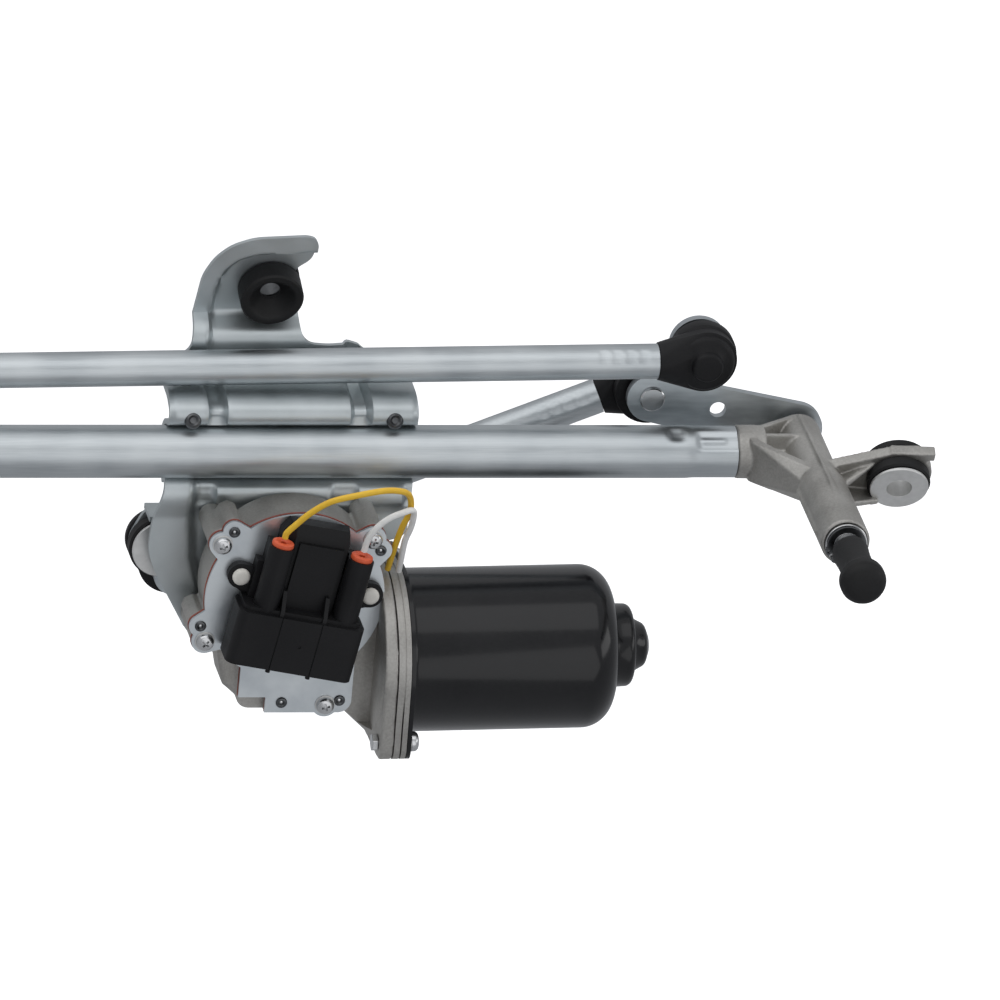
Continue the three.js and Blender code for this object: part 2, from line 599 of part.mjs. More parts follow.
// ---- motor, in its own frame: X is the worm's axis ----
function wormShaft() {
  const { root, tip, pitch, turns } = WORM;
  const helix = Array.from({ length: turns * 8 + 1 }, (_, i) => {
    const angle = (i / 8) * TURN;
    const reach = (root + tip) / 2 - 0.1;
    return new THREE.Vector3((i / 8 - turns / 2) * pitch, reach * Math.cos(angle), reach * Math.sin(angle));
  });
  const section = new THREE.Shape([[-0.7, -0.6], [0.7, -0.6], [0.7, 0.6], [-0.7, 0.6]]
    .map(([x, y]) => new THREE.Vector2(x, y)));
  const thread = new THREE.ExtrudeGeometry(section, {
    steps: turns * 8, bevelEnabled: false, extrudePath: new THREE.CatmullRomCurve3(helix),
  });
  const shaft = alongX(lathe([
    [0, -18], [2.6, -18], [2.6, -13], [root, -12.4], [root, 13], [4, 14], [4, 159], [0, 159],
  ]));
  return join(solid(shaft), solid(thread));
}

function motorCan() {
  const { start, end, radius, wall, corner } = CAN;
  const lip = FLANGE.can[1];
  const bend = (r, x) => Array.from({ length: 5 }, (_, i) => {
    const angle = (i / 4) * (Math.PI / 2);
    return [r - corner + corner * Math.cos(angle), x - corner + corner * Math.sin(angle)];
  });
  const inner = radius - wall;
  const shell = alongX(lathe([
    [inner, start], [radius + 1, start], [radius + 1, lip], [radius, lip], ...bend(radius, end),
    [19, end], [19, 159], [17.5, 161], [9.5, 161], [9.5, 165.5], [7.5, 168], [0, 168],
    [0, 159.6], [10, 159.6], [10, end - wall], ...bend(inner, end - wall).toReversed(), [inner, start],
  ], 28));
  const hole = solid(alongX(disc(inner + 0.5, start - 1, lip + 1, 28)));
  return join(solid(shell), cut(flange(FLANGE.can, 41), hole));
}

// One rolled strip, open along its lowest side.
function magnetRing() {
  const shape = new THREE.Shape();
  const spread = THREE.MathUtils.degToRad(165);
  shape.absarc(0, 0, 34.8, -spread, spread, false);
  shape.absarc(0, 0, 30, spread, -spread, true);
  const strip = new THREE.ExtrudeGeometry(shape, { depth: 56, bevelEnabled: false, curveSegments: 20 });
  return alongX(strip.translate(0, 0, 68));
}

function motor() {
  const group = new THREE.Group();
  group.position.set(0, WORM_AXIS.y, WORM_AXIS.z);
  group.rotation.z = WORM_AXIS.yaw;
  assembly.add(group);
  const holders = [11, -26].map((y) => solid(box(51, 66, y, y + 15, -6, -3.2)));
  const plateBody = cut(flange(FLANGE.plate, 41), solid(alongX(disc(13, 46, 53))));
  add("brush_plate", join(plateBody, ...holders), "cast", group);
  add("motor_can", motorCan(), "black_paint", group);
  CAN_SCREW.angles.forEach((a, i) => {
    const angle = THREE.MathUtils.degToRad(a);
    const screw = alongX(lathe([
      [0, 38], [2, 38], [2, FLANGE.can[1] + GAP], [4.6, FLANGE.can[1] + GAP], [4.6, FLANGE.can[1] + 3.4],
      [3.8, FLANGE.can[1] + 4.2], [0, FLANGE.can[1] + 4.2],
    ], 12));
    add(`can_screw_${i + 1}`, screw, "steel", group)
      .position.set(0, CAN_SCREW.radius * Math.cos(angle), CAN_SCREW.radius * Math.sin(angle));
  });
  add("magnet_ring", magnetRing(), "magnet", group);
  [12, -23].forEach((y, i) => add(`brush_${i + 1}`, box(57, 64, y, y + 11, -2.7, 2.7), "magnet", group));
  add("rear_bearing", alongX(ring(4 + GAP, 9.6, 151, 158.5)), "copper", group);
  add("armature_shaft", wormShaft(), "steel", group);
  const core = cut(
    join(
      solid(alongX(plate(toothed(10, 28.5, 17), 76, 116))),
      solid(alongX(disc(15, 69, 122))),
      solid(alongX(disc(11.4, 56, 70)))),
    solid(alongX(disc(4 + GAP, 50, 125))));
  add("armature_windings", core, "copper", group);
}

// ---- connector and its two leads ----
const CONNECTOR = { place: [0.8, -57.2, COVER.top], turn: THREE.MathUtils.degToRad(-10.5) };
const SHROUD = { half: 28.5, deep: 28, high: 20, wall: 2, cell: 16.6 };
const LEAD_TUBES = [-16.8, 20.4];
const LEAD_END = 31;
const LEAD_HEIGHT = 12;

function connector() {
  const group = new THREE.Group();
  group.position.set(...CONNECTOR.place);
  group.rotation.z = CONNECTOR.turn;
  assembly.add(group);
  const { half, deep, high, wall, cell } = SHROUD;
  const tabs = [[-29.3, 9.7, -14], [31.3, 11.1, 14]];
  const body = join(
    solid(box(-half, half, -deep, 0, GAP, high)),
    solid(box(-17, 15, -1, 41.5, GAP, 11)),
    solid(box(-24.5, 24.5, -1, 20, GAP, 9)),
    ...LEAD_TUBES.map((x) => solid(bar([x, -1, LEAD_HEIGHT], [x, LEAD_END, LEAD_HEIGHT], 6))),
    ...tabs.map(([x, y, inside]) => solid(bandPlate([[x, y, 6], [inside, y - 2, 6]], GAP, 4))),
  );
  const cells = [-1, 0, 1].map((i) => {
    const middle = i * (cell + 1.6);
    return solid(box(middle - cell / 2, middle + cell / 2, -deep - 1, -5, wall + GAP, high - wall));
  });
  const bores = LEAD_TUBES.map((x) =>
    solid(bar([x, LEAD_END - 11, LEAD_HEIGHT], [x, LEAD_END + 1, LEAD_HEIGHT], 3.4)));
  const mouths = LEAD_TUBES.map((x) =>
    solid(bar([x, LEAD_END, LEAD_HEIGHT], [x, LEAD_END + 16, LEAD_HEIGHT], 6.5)));
  const rivetHoles = tabs.map(([x, y]) => solid(at(disc(2.5, -1, 5, 12), [x, y])));
  add("connector_housing", cut(body, ...cells, ...bores, ...mouths, ...rivetHoles), "plastic", group);
  tabs.forEach(([x, y], i) => {
    const rivet = lathe([[0, GAP], [2.2, GAP], [2.2, 4 + GAP], [4, 4 + GAP], [4, 5.6], [3, 6.4], [0, 6.6]]);
    add(`connector_rivet_${i + 1}`, rivet, "nylon", group).position.set(x, y, 0);
  });
  LEAD_TUBES.forEach((x, i) => {
    const seal = lathe([[0, -10], [3, -10], [3, GAP], [4.4, GAP], [4.4, 2], [3.2, 3.2], [0, 3.2]]);
    add(`wire_seal_${i + 1}`, seal.rotateX(-Math.PI / 2), "seal", group).position.set(x, LEAD_END, LEAD_HEIGHT);
  });
}

const LEAD_RADIUS = 1.45;
const YELLOW_ROUTE = [
  [-9.3, -19.8, 50.1], [-8.6, -17, 50.5], [-4.9, -12.2, 51.9], [0.8, -5.5, 54.1], [8.9, 1.3, 57.1],
  [20.3, 5.5, 59.4], [32, 7.6, 59.1], [39.7, 6.4, 56.6], [44.6, 3.3, 53.1], [47.1, -2.4, 49.1],
  [47.9, -9.9, 44.6], [46.3, -18.3, 40.1], [45, -28.3, 35.4], [44.3, -37.4, 31], [43.9, -46, 26.5],
];
const WHITE_ROUTE = [
  [27.3, -26.3, 50.1], [27.8, -23.6, 50.5], [28.8, -19, 51.6], [32, -12.7, 53.6], [36.9, -7.9, 54.6],
  [42.9, -5.7, 53.6], [47.2, -5.5, 51.4], [49.2, -8.9, 48.1], [49.4, -17.6, 43.1], [48.2, -26.2, 38.6],
  [48.2, -36.4, 33.8], [48.6, -46, 28.4],
];

function leads() {
  add("yellow_wire", wire(YELLOW_ROUTE, LEAD_RADIUS), "yellow");
  add("white_wire", wire(WHITE_ROUTE, LEAD_RADIUS), "white");
}

// ---- the whole assembly ----
frameTube();
pivotHousings();
rubberMounts();
add("motor_bracket", motorBracket(), "zinc");
pivot("right", RIGHT_PIVOT, [CROSS_BALL, DRIVE_BALL]);
pivot("left", LEFT_PIVOT, [CROSS_BALL]);
links();
crank();
gearCase();
motor();
connector();
leads();

export default assembly;
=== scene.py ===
import json
import math
import bmesh
import bpy
from mathutils import Matrix, Vector


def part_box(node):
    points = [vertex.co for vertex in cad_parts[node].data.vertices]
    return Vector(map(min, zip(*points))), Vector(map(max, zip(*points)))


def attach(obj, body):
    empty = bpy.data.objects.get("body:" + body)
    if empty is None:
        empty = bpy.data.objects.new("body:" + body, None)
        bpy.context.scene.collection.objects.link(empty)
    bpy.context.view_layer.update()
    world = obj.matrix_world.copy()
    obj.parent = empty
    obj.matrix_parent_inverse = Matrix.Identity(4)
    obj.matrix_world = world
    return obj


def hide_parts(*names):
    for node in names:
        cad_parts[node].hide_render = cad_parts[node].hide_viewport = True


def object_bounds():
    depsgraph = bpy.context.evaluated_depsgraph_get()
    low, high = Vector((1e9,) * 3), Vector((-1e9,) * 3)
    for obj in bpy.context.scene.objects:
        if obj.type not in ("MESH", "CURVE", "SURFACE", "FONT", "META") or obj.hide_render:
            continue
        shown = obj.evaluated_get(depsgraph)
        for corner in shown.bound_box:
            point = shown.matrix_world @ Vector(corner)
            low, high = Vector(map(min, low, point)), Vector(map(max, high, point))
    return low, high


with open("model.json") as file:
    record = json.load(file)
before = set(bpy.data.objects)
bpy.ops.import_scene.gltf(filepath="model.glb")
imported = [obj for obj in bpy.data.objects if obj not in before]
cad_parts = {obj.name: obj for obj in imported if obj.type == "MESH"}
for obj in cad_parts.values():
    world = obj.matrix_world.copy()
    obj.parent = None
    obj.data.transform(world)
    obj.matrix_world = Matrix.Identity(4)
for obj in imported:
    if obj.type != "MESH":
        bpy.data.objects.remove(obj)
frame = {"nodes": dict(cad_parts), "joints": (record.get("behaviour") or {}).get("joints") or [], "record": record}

cad_low, cad_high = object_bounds()
MM = 0.001  # shapes below are drawn in millimetres
TURN = 2 * math.pi
X_AXIS, Y_AXIS, Z_AXIS = Vector((1, 0, 0)), Vector((0, 1, 0)), Vector((0, 0, 1))

# ---- places, read from the frame ----
joint = {j["name"]: j for j in frame["joints"]}


def pin(name):
    """A joint's point, in millimetres."""
    return Vector(joint[name]["pos_m"]) / MM


def span(node):
    """A node's lowest and highest corner, in millimetres."""
    low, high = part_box(node)
    return low / MM, high / MM


RIGHT, LEFT = pin("wiper_swing"), pin("left_swing")
CROSS_RIGHT, DRIVE_LEVER = pin("cross_link_pin"), pin("drive_link_pin")
CROSS_LEFT = CROSS_RIGHT + LEFT - RIGHT
GEAR, MOTOR = pin("crank_turn"), pin("armature_spin")
MOTOR_AXIS = Vector(joint["armature_spin"]["axis"])

# ---- camera and studio ----
VIEW_BACK = Vector((-0.1938, 0.4109, 0.8907)).normalized()  # from the object towards the camera
VIEW_UP = Vector((0, 0.908, -0.4189))
VIEW_CENTRE = Vector((0.0928, -0.0122, 0.0258))
VIEW_DISTANCE, LENS = 12.0, 959.5


def studio():
    camera = bpy.data.objects.new("camera", bpy.data.cameras.new("camera"))
    bpy.context.scene.collection.objects.link(camera)
    right = VIEW_UP.cross(VIEW_BACK).normalized()
    up = VIEW_BACK.cross(right)
    turn = Matrix((right, up, VIEW_BACK)).transposed()
    camera.matrix_world = Matrix.Translation(VIEW_CENTRE + VIEW_BACK * VIEW_DISTANCE) @ turn.to_4x4()
    camera.data.lens = LENS
    camera.data.clip_end = 40
    bpy.context.scene.camera = camera
    bpy.context.scene.view_settings.view_transform = "Standard"

    def panel(name, direction, distance, size, power):
        light = bpy.data.objects.new(name, bpy.data.lights.new(name, "AREA"))
        bpy.context.scene.collection.objects.link(light)
        light.data.shape = "RECTANGLE"
        light.data.size, light.data.size_y = size
        light.data.energy = power
        direction = direction.normalized()
        light.location = VIEW_CENTRE + direction * distance
        light.rotation_mode = "QUATERNION"
        light.rotation_quaternion = direction.to_track_quat("Z", "Y")
    panel("key", VIEW_BACK * 1.0 + VIEW_UP * 0.85, 1.5, (2.6, 1.2), 6)
    panel("top", VIEW_BACK * 0.2 + VIEW_UP * 1.0 - X_AXIS * 0.5, 1.4, (1.4, 1.0), 2.2)
    panel("front", VIEW_BACK * 1.0 - VIEW_UP * 0.35 + X_AXIS * 0.3, 1.9, (2.2, 1.2), 5)
    panel("right", VIEW_BACK * 0.5 + X_AXIS * 1.0, 1.6, (0.5, 1.2), 2.5)
    world = bpy.data.worlds.new("studio")
    bpy.context.scene.world = world
    world.use_nodes = True
    nodes, links = world.node_tree.nodes, world.node_tree.links
    split, tone = nodes.new("ShaderNodeSeparateXYZ"), nodes.new("ShaderNodeValToRGB")
    links.new(nodes.new("ShaderNodeTexCoord").outputs["Generated"], split.inputs[0])
    links.new(split.outputs["Y"], tone.inputs["Fac"])
    links.new(tone.outputs["Color"], nodes["Background"].inputs["Color"])
    # dim below the object, pale above and in front of it
    ramp = tone.color_ramp
    ramp.elements[0].position, ramp.elements[0].color = 0.0, (0.42, 0.43, 0.45, 1)
    ramp.elements[1].position, ramp.elements[1].color = 0.75, (0.62, 0.63, 0.65, 1)
    nodes["Background"].inputs["Strength"].default_value = 0.85

    floor = make("floor", *quad(6.0 / MM, (cad_low.z - 0.16) / MM))
    white = bpy.data.materials.new("floor")
    white.use_nodes = True
    shader = white.node_tree.nodes["Principled BSDF"]
    shader.inputs["Base Color"].default_value = (0.92, 0.92, 0.92, 1)
    shader.inputs["Roughness"].default_value = 0.9
    shader.inputs["Emission Color"].default_value = (1, 1, 1, 1)
    shader.inputs["Emission Strength"].default_value = 0.72
    floor.data.materials.append(white)
    floor.visible_glossy = False


# ---- mesh code ----
def make(name, verts, faces):
    mesh = bpy.data.meshes.new(name)
    mesh.from_pydata([Vector(v) * MM for v in verts], [], faces)
    mesh.update()
    made = bpy.data.objects.new(name, mesh)
    bpy.context.scene.collection.objects.link(made)
    return made


def quad(half, z):
    return [(-half, -half, z), (half, -half, z), (half, half, z), (-half, half, z)], [(0, 1, 2, 3)]


def outward(shape):
    bm = bmesh.new()
    bm.from_mesh(shape.data)
    bmesh.ops.recalc_face_normals(bm, faces=bm.faces)
    bm.to_mesh(shape.data)
    bm.free()
    return shape


def revolve(points, sides=64, at=(0, 0, 0), axis=Z_AXIS):
    """A body turned about an axis through a point, from [radius, height] points."""
    verts, rows = [], []
    closed = len(points) > 2 and points[0] == points[-1]
    for r, z in points[:-1] if closed else points:
        if r < 1e-6:
            rows.append([len(verts)])
            verts.append(Vector((0, 0, z)))
            continue
        rows.append(range(len(verts), len(verts) + sides))
        verts += [Vector((r * math.cos(TURN * i / sides), r * math.sin(TURN * i / sides), z))
                for i in range(sides)]
    if closed:
        rows.append(rows[0])
    faces = []
    for a, b in zip(rows, rows[1:]):
        for i in range(sides):
            j = (i + 1) % sides
            corners = [a[i % len(a)], a[j % len(a)], b[j % len(b)], b[i % len(b)]]
            faces.append(list(dict.fromkeys(corners)))
    faces = [f for f in faces if len(f) > 2]
    turn = Z_AXIS.rotation_difference(Vector(axis).normalized())
    return outward(make("part", [turn @ v + Vector(at) for v in verts], faces))


def rod(a, b, radius, inner=0, sides=48):
    a, b = Vector(a), Vector(b)
    length = (b - a).length
    if inner:
        profile = [(inner, 0), (radius, 0), (radius, length), (inner, length), (inner, 0)]
    else:
        profile = [(0, 0), (radius, 0), (radius, length), (0, length)]
    return revolve(profile, sides, a, b - a)


def plate(outline, z0, z1):
    count = len(outline)
    verts = [(x, y, z0) for x, y in outline] + [(x, y, z1) for x, y in outline]
    faces = [list(range(count))[::-1], [i + count for i in range(count)]]
    faces += [(i, (i + 1) % count, (i + 1) % count + count, i + count) for i in range(count)]
    return outward(make("part", verts, faces))


def hull_outline(circles, step=6):
    """The tight band round [x, y, radius] circles, as points."""
    points = sorted({
        (round(x + r * math.cos(math.radians(a)), 4), round(y + r * math.sin(math.radians(a)), 4))
        for x, y, r in circles for a in range(0, 360, step)
    })

    def half(line):
        kept = []
        for p in line:
            while len(kept) > 1 and (
                (kept[-1][0] - kept[-2][0]) * (p[1] - kept[-2][1])
                - (kept[-1][1] - kept[-2][1]) * (p[0] - kept[-2][0])) <= 1e-6:
                kept.pop()
            kept.append(p)
        return kept[:-1]
    return half(points) + half(points[::-1])


def band(circles, z0, z1):
    """A plate with the outline of a belt round some circles."""
    return plate(hull_outline(circles), z0, z1)


def circle(radius, count, x=0, y=0):
    return [(x + radius * math.cos(TURN * k / count), y + radius * math.sin(TURN * k / count))
            for k in range(count)]


def hexagon(radius, z0, z1, x=0, y=0):
    return plate(circle(radius, 6, x, y), z0, z1)


def block(x0, x1, y0, y1, z0, z1):
    return plate([(x0, y0), (x1, y0), (x1, y1), (x0, y1)], z0, z1)


def moved(shape, matrix):
    """Moves a shape's own points. The matrix is in millimetres."""
    scaled = matrix.copy()
    scaled.translation = matrix.translation * MM
    shape.data.transform(scaled)
    if matrix.determinant() < 0:
        outward(shape)
    return shape


def shift(x, y, z=0):
    return Matrix.Translation((x, y, z))


def spin(angle, axis):
    return Matrix.Rotation(angle, 4, axis)


def placed(at, axis=Z_AXIS):
    """A place at a point, with its own Z along an axis."""
    tilt = Z_AXIS.rotation_difference(Vector(axis).normalized())
    return Matrix.Translation(Vector(at)) @ tilt.to_matrix().to_4x4()


def combine(base, tools, operation):
    for tool in tools:
        step = base.modifiers.new("step", "BOOLEAN")
        step.object, step.operation, step.solver = tool, operation, "MANIFOLD"
    bake(base)
    for tool in tools:
        bpy.data.objects.remove(tool)
    return base


def bake(shape):
    graph = bpy.context.evaluated_depsgraph_get()
    mesh = bpy.data.meshes.new_from_object(shape.evaluated_get(graph))
    shape.modifiers.clear()
    shape.data = mesh
    return shape


def join(base, *tools):
    return combine(base, tools, "UNION")


def cut(base, *tools):
    return combine(base, tools, "DIFFERENCE")


def cast(shape, voxel=0.8, soften=5):
    """Rounds every inner and outer corner, as in a die casting."""
    remesh = shape.modifiers.new("remesh", "REMESH")
    remesh.mode, remesh.voxel_size = "VOXEL", voxel * MM
    smooth = shape.modifiers.new("smooth", "SMOOTH")
    smooth.factor, smooth.iterations = 0.5, soften
    return bake(shape)


def show(shape, name, body, finish_name, replaces=(), bevel=0.0, segments=2, sharp=38):
    """Names a finished shape, gives it its finish and hangs it on its body."""
    material = FINISH[finish_name]
    shape.name = name
    shape.data.materials.clear()
    shape.data.materials.append(material)
    for face in shape.data.polygons:
        face.use_smooth = True
        face.material_index = 0
    shape.data.set_sharp_from_angle(angle=math.radians(sharp))
    if bevel:
        edge = shape.modifiers.new("edges", "BEVEL")
        edge.width, edge.segments = bevel * MM, segments
        edge.limit_method, edge.angle_limit = "ANGLE", math.radians(sharp)
        edge.harden_normals = True
        edge.use_clamp_overlap = True
    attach(shape, body)
    if replaces:
        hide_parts(*replaces)
    return shape


# ---- finishes ----
FINISH = {}


def finish(name, slot, roughness, metallic, low, high, grain, grain_scale, bump, spread=0.06, **extra):
    """A finish whose colour runs between two tones and whose gloss and relief follow the same grain."""
    material = bpy.data.materials.new(name)
    material.use_nodes = True
    nodes, links = material.node_tree.nodes, material.node_tree.links
    shader = nodes["Principled BSDF"]
    shader.inputs["Metallic"].default_value = metallic

    def add(kind, **values):
        node = nodes.new("ShaderNode" + kind)
        for socket, value in values.items():
            node.inputs[socket.replace("_", " ")].default_value = value
        return node
    place = add("TexCoord").outputs["Object"]
    stretch = add("Mapping", Scale=grain_scale)
    links.new(place, stretch.inputs["Vector"])
    fine = add("TexNoise", Scale=grain, Detail=4)
    links.new(stretch.outputs["Vector"], fine.inputs["Vector"])
    broad = add("TexNoise", Scale=38, Detail=2)
    links.new(place, broad.inputs["Vector"])
    # 0.6 of the broad grain and 0.4 of the fine one
    both, part = add("Math"), add("Math")
    both.operation, part.operation = "MULTIPLY_ADD", "MULTIPLY"
    both.inputs[1].default_value, part.inputs[1].default_value = 0.6, 0.4
    links.new(broad.outputs["Fac"], both.inputs[0])
    links.new(fine.outputs["Fac"], part.inputs[0])
    links.new(part.outputs[0], both.inputs[2])
    tone = add("ValToRGB")
    for element, position, colour in zip(tone.color_ramp.elements, (0.36, 0.64), (low, high)):
        element.position, element.color = position, (*colour, 1)
    links.new(both.outputs[0], tone.inputs["Fac"])
    links.new(tone.outputs["Color"], shader.inputs["Base Color"])
    gloss = add("MapRange", From_Min=0.3, From_Max=0.7, To_Min=roughness - spread,
            To_Max=roughness + spread)
    links.new(both.outputs[0], gloss.inputs["Value"])
    links.new(gloss.outputs["Result"], shader.inputs["Roughness"])
    relief = add("Bump", Strength=0.5, Distance=bump * MM)
    links.new(fine.outputs["Fac"], relief.inputs["Height"])
    links.new(relief.outputs["Normal"], shader.inputs["Normal"])
    for socket, value in extra.items():
        shader.inputs[socket.replace("_", " ")].default_value = value
    FINISH[name] = material
    return material


def finishes():
    along = (1, 30, 30)
    even = (1, 1, 1)
    finish("zinc_tube", "zinc_plate", 0.40, 1.0, (0.50, 0.535, 0.555), (0.64, 0.675, 0.69), 55, along,
           0.04)
    finish("zinc_sheet", "zinc_plate", 0.36, 1.0, (0.44, 0.475, 0.495), (0.60, 0.64, 0.66), 90, (1, 5, 1),
           0.04)
    finish("zinc_cover", "zinc_plate", 0.36, 0.92, (0.58, 0.62, 0.65), (0.74, 0.78, 0.80), 120, even,
           0.04)
    finish("cast_alloy", "cast_alloy", 0.5, 0.85, (0.34, 0.33, 0.31), (0.50, 0.49, 0.467), 900, even,
           0.22)
    finish("zinc_bracket", "zinc_plate", 0.42, 0.9, (0.46, 0.50, 0.51), (0.58, 0.62, 0.635), 60, even,
           0.05)
    finish("bright_washer", "bright_steel", 0.4, 0.75, (0.62, 0.62, 0.61), (0.76, 0.76, 0.75), 300, even,
           0.04)
    # dark steel tone for the circlips, cover rivets and plug welds; the same dark tone on the recessed upper
    # sleeve is painted shade in its recess
    finish("dark_steel_and_shade", "bright_steel", 0.3, 1.0, (0.08, 0.083, 0.087), (0.15, 0.155, 0.16), 400, even,
           0.04)
    finish("bright_steel", "bright_steel", 0.24, 1.0, (0.58, 0.585, 0.59), (0.74, 0.745, 0.75), 260, even,
           0.04)
    finish("can_paint", "can_paint", 0.2, 0.0, (0.005, 0.005, 0.006), (0.009, 0.009, 0.010), 500, even,
           0.03, Specular_IOR_Level=0.25, Coat_Weight=0.35, Coat_Roughness=0.12)
    finish("black_plastic", "black_plastic", 0.46, 0.0, (0.007, 0.007, 0.008), (0.012, 0.012, 0.013),
           1400, even, 0.08, Specular_IOR_Level=0.22)
    finish("black_rubber", "black_rubber", 0.55, 0.0, (0.006, 0.006, 0.006), (0.011, 0.011, 0.012), 800,
           even, 0.10, Specular_IOR_Level=0.3)
    finish("orange_seal", "orange_seal", 0.45, 0.0, (0.60, 0.085, 0.03), (0.72, 0.12, 0.045), 500, even,
           0.05)
    finish("gasket_red", "gasket_red", 0.7, 0.0, (0.20, 0.05, 0.035), (0.30, 0.08, 0.055), 700, even,
           0.10)
    finish("yellow_insulation", "yellow_insulation", 0.38, 0.0, (0.72, 0.42, 0.02), (0.82, 0.52, 0.035),
           400, even, 0.03)
    finish("white_insulation", "white_insulation", 0.38, 0.0, (0.72, 0.72, 0.70), (0.84, 0.84, 0.83), 400,
           even, 0.03)
    finish("white_nylon", "white_nylon", 0.45, 0.0, (0.62, 0.60, 0.55), (0.74, 0.72, 0.67), 500, even,
           0.05)
    finish("bronze", "bronze", 0.4, 0.9, (0.45, 0.26, 0.12), (0.62, 0.38, 0.19), 400, even, 0.06)
    finish("ferrite", "ferrite", 0.7, 0.1, (0.03, 0.03, 0.032), (0.06, 0.06, 0.063), 700, even, 0.10)


# The CAD nodes that keep their own shape, and the finish of each slot on them.
PLAIN = {
    "zinc_plate": "zinc_sheet", "cast_alloy": "cast_alloy", "bright_steel": "bright_steel",
    "black_rubber": "black_rubber", "black_plastic": "black_plastic", "can_paint": "can_paint",
    "orange_seal": "orange_seal", "gasket_red": "gasket_red", "yellow_insulation": "yellow_insulation",
    "white_insulation": "white_insulation", "white_nylon": "white_nylon", "bronze": "bronze",
    "ferrite": "ferrite",
}


def dress_nodes():
    slot_of = {row["node"]: row["material_slot"] for row in frame["record"]["subparts"]}
    for name, node in frame["nodes"].items():
        node.data.materials.clear()
        node.data.materials.append(FINISH[PLAIN[slot_of[name]]])
        for face in node.data.polygons:
            face.use_smooth = True
        node.data.set_sharp_from_angle(angle=math.radians(32))


# ---- leads: the routes of the two wires, in metres ----
YELLOW_ROUTE = [
    (-0.0093, -0.0198, 0.0501), (-0.0086, -0.017, 0.0505), (-0.0049, -0.0122, 0.0519),
    (0.0008, -0.0055, 0.0541), (0.0089, 0.0013, 0.0571), (0.0203, 0.0055, 0.0594),
    (0.032, 0.0076, 0.0591), (0.0397, 0.0064, 0.0566), (0.0446, 0.0033, 0.0531),
    (0.0471, -0.0024, 0.0491), (0.0479, -0.0099, 0.0446), (0.0463, -0.0183, 0.0401),
    (0.045, -0.0283, 0.0354), (0.0443, -0.0374, 0.031), (0.0439, -0.046, 0.0265),
]
WHITE_ROUTE = [
    (0.0273, -0.0263, 0.0501), (0.0278, -0.0236, 0.0505), (0.0288, -0.019, 0.0516),
    (0.032, -0.0127, 0.0536), (0.0369, -0.0079, 0.0546), (0.0429, -0.0057, 0.0536),
    (0.0472, -0.0055, 0.0514), (0.0492, -0.0089, 0.0481), (0.0494, -0.0176, 0.0431),
    (0.0482, -0.0262, 0.0386), (0.0482, -0.0364, 0.0338), (0.0486, -0.046, 0.0284),
]
LEAD_DIAMETER = 0.0029


def smooth_route(points, per_span=8):
    """Points along a smooth curve through all the given ones."""
    points = [Vector(p) for p in points]
    ends = [points[0] * 2 - points[1], *points, points[-1] * 2 - points[-2]]
    route = []
    for a, b, c, d in zip(ends, ends[1:], ends[2:], ends[3:]):
        for i in range(per_span):
            t = i / per_span
            route.append(0.5 * (2 * b + (c - a) * t + (2 * a - 5 * b + 4 * c - d) * t * t
                    + (3 * b - a - 3 * c + d) * t ** 3))
    return [*route, points[-1]]


def lead(name, node, route, finish_name):
    """A wire held at both ends, along a route in metres."""
    material = FINISH[finish_name]
    path = smooth_route(route)
    curve = bpy.data.curves.new(name, "CURVE")
    curve.dimensions = "3D"
    curve.bevel_depth, curve.bevel_resolution = LEAD_DIAMETER / 2, 5
    curve.use_fill_caps = True
    line = curve.splines.new("POLY")
    line.points.add(len(path) - 1)
    for point, place in zip(line.points, path):
        point.co = (*place, 1)
    line.use_smooth = True
    made = bpy.data.objects.new(name, curve)
    bpy.context.scene.collection.objects.link(made)
    made.data.materials.append(material)
    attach(made, "frame")
    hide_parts(node)


# ---- tubes ----
def facing(y, z):
    """The angle about +X of a direction in Y and Z."""
    return math.atan2(z, y)


def dented_tube(name, body, node, length, radius, wall, place, dents, step=1.0):
    """A tube along +X. Each dent is (x, angle, half length, half width, depth, softness)."""
    sides = 72
    count = max(2, int(length / step))
    verts, faces = [], []
    xs = [length * i / count for i in range(count + 1)]
    for shell, shrink in ((0, 0.0), (1, wall)):
        for x in xs:
            for k in range(sides):
                a = TURN * k / sides
                r = radius - shrink
                for dent_x, dent_a, half_x, half_w, depth, soft in dents:
                    if abs(x - dent_x) > half_x + soft + 0.01:
                        continue
                    away = (a - dent_a + math.pi) % TURN - math.pi
                    reach_x = ease((half_x + soft - abs(x - dent_x)) / max(soft, 0.01))
                    reach_w = ease((half_w + soft - abs(away) * radius) / max(soft, 0.01))
                    r -= depth * reach_x * reach_w
                verts.append((x, r * math.cos(a), r * math.sin(a)))
    rows = count + 1
    for shell in (0, 1):
        base = shell * rows * sides
        for i in range(count):
            for k in range(sides):
                a, b = base + i * sides + k, base + i * sides + (k + 1) % sides
                faces.append((a, b, b + sides, a + sides))
    for end in (0, count):
        for k in range(sides):
            a, b = end * sides + k, end * sides + (k + 1) % sides
            faces.append((a, b, b + rows * sides, a + rows * sides))
    tube = moved(outward(make(name, verts, faces)), place)
    return show(tube, name, body, "zinc_tube", [node], sharp=50)


def ease(t):
    t = max(0.0, min(1.0, t))
    return t * t * (3 - 2 * t)


def frame_tube():
    low, high = span("frame_tube")
    radius = high.z
    length = high.x - low.x
    pad, hollow = facing(0.766, 0.643), facing(0.92, 0.39)
    dents = []
    for end, way in ((length, -1), (0, 1)):
        dents += [
            (end + way * 7, pad, 9.5, 2.6, 1.2, 3.2), (end + way * 11, pad, 5.0, 0.4, -0.6, 1.4),
            (end + way * 28, hollow, 1.0, 1.0, 1.3, 4.8),
            (end + way * 7, pad + math.pi, 9.5, 2.6, 1.2, 3.2), (end + way * 9, 0, 9, 40, 0.3, 6),
        ]
    dented_tube("frame_tube_drawn", "frame", "frame_tube", length, radius, 1.6, shift(low.x, 0), dents)


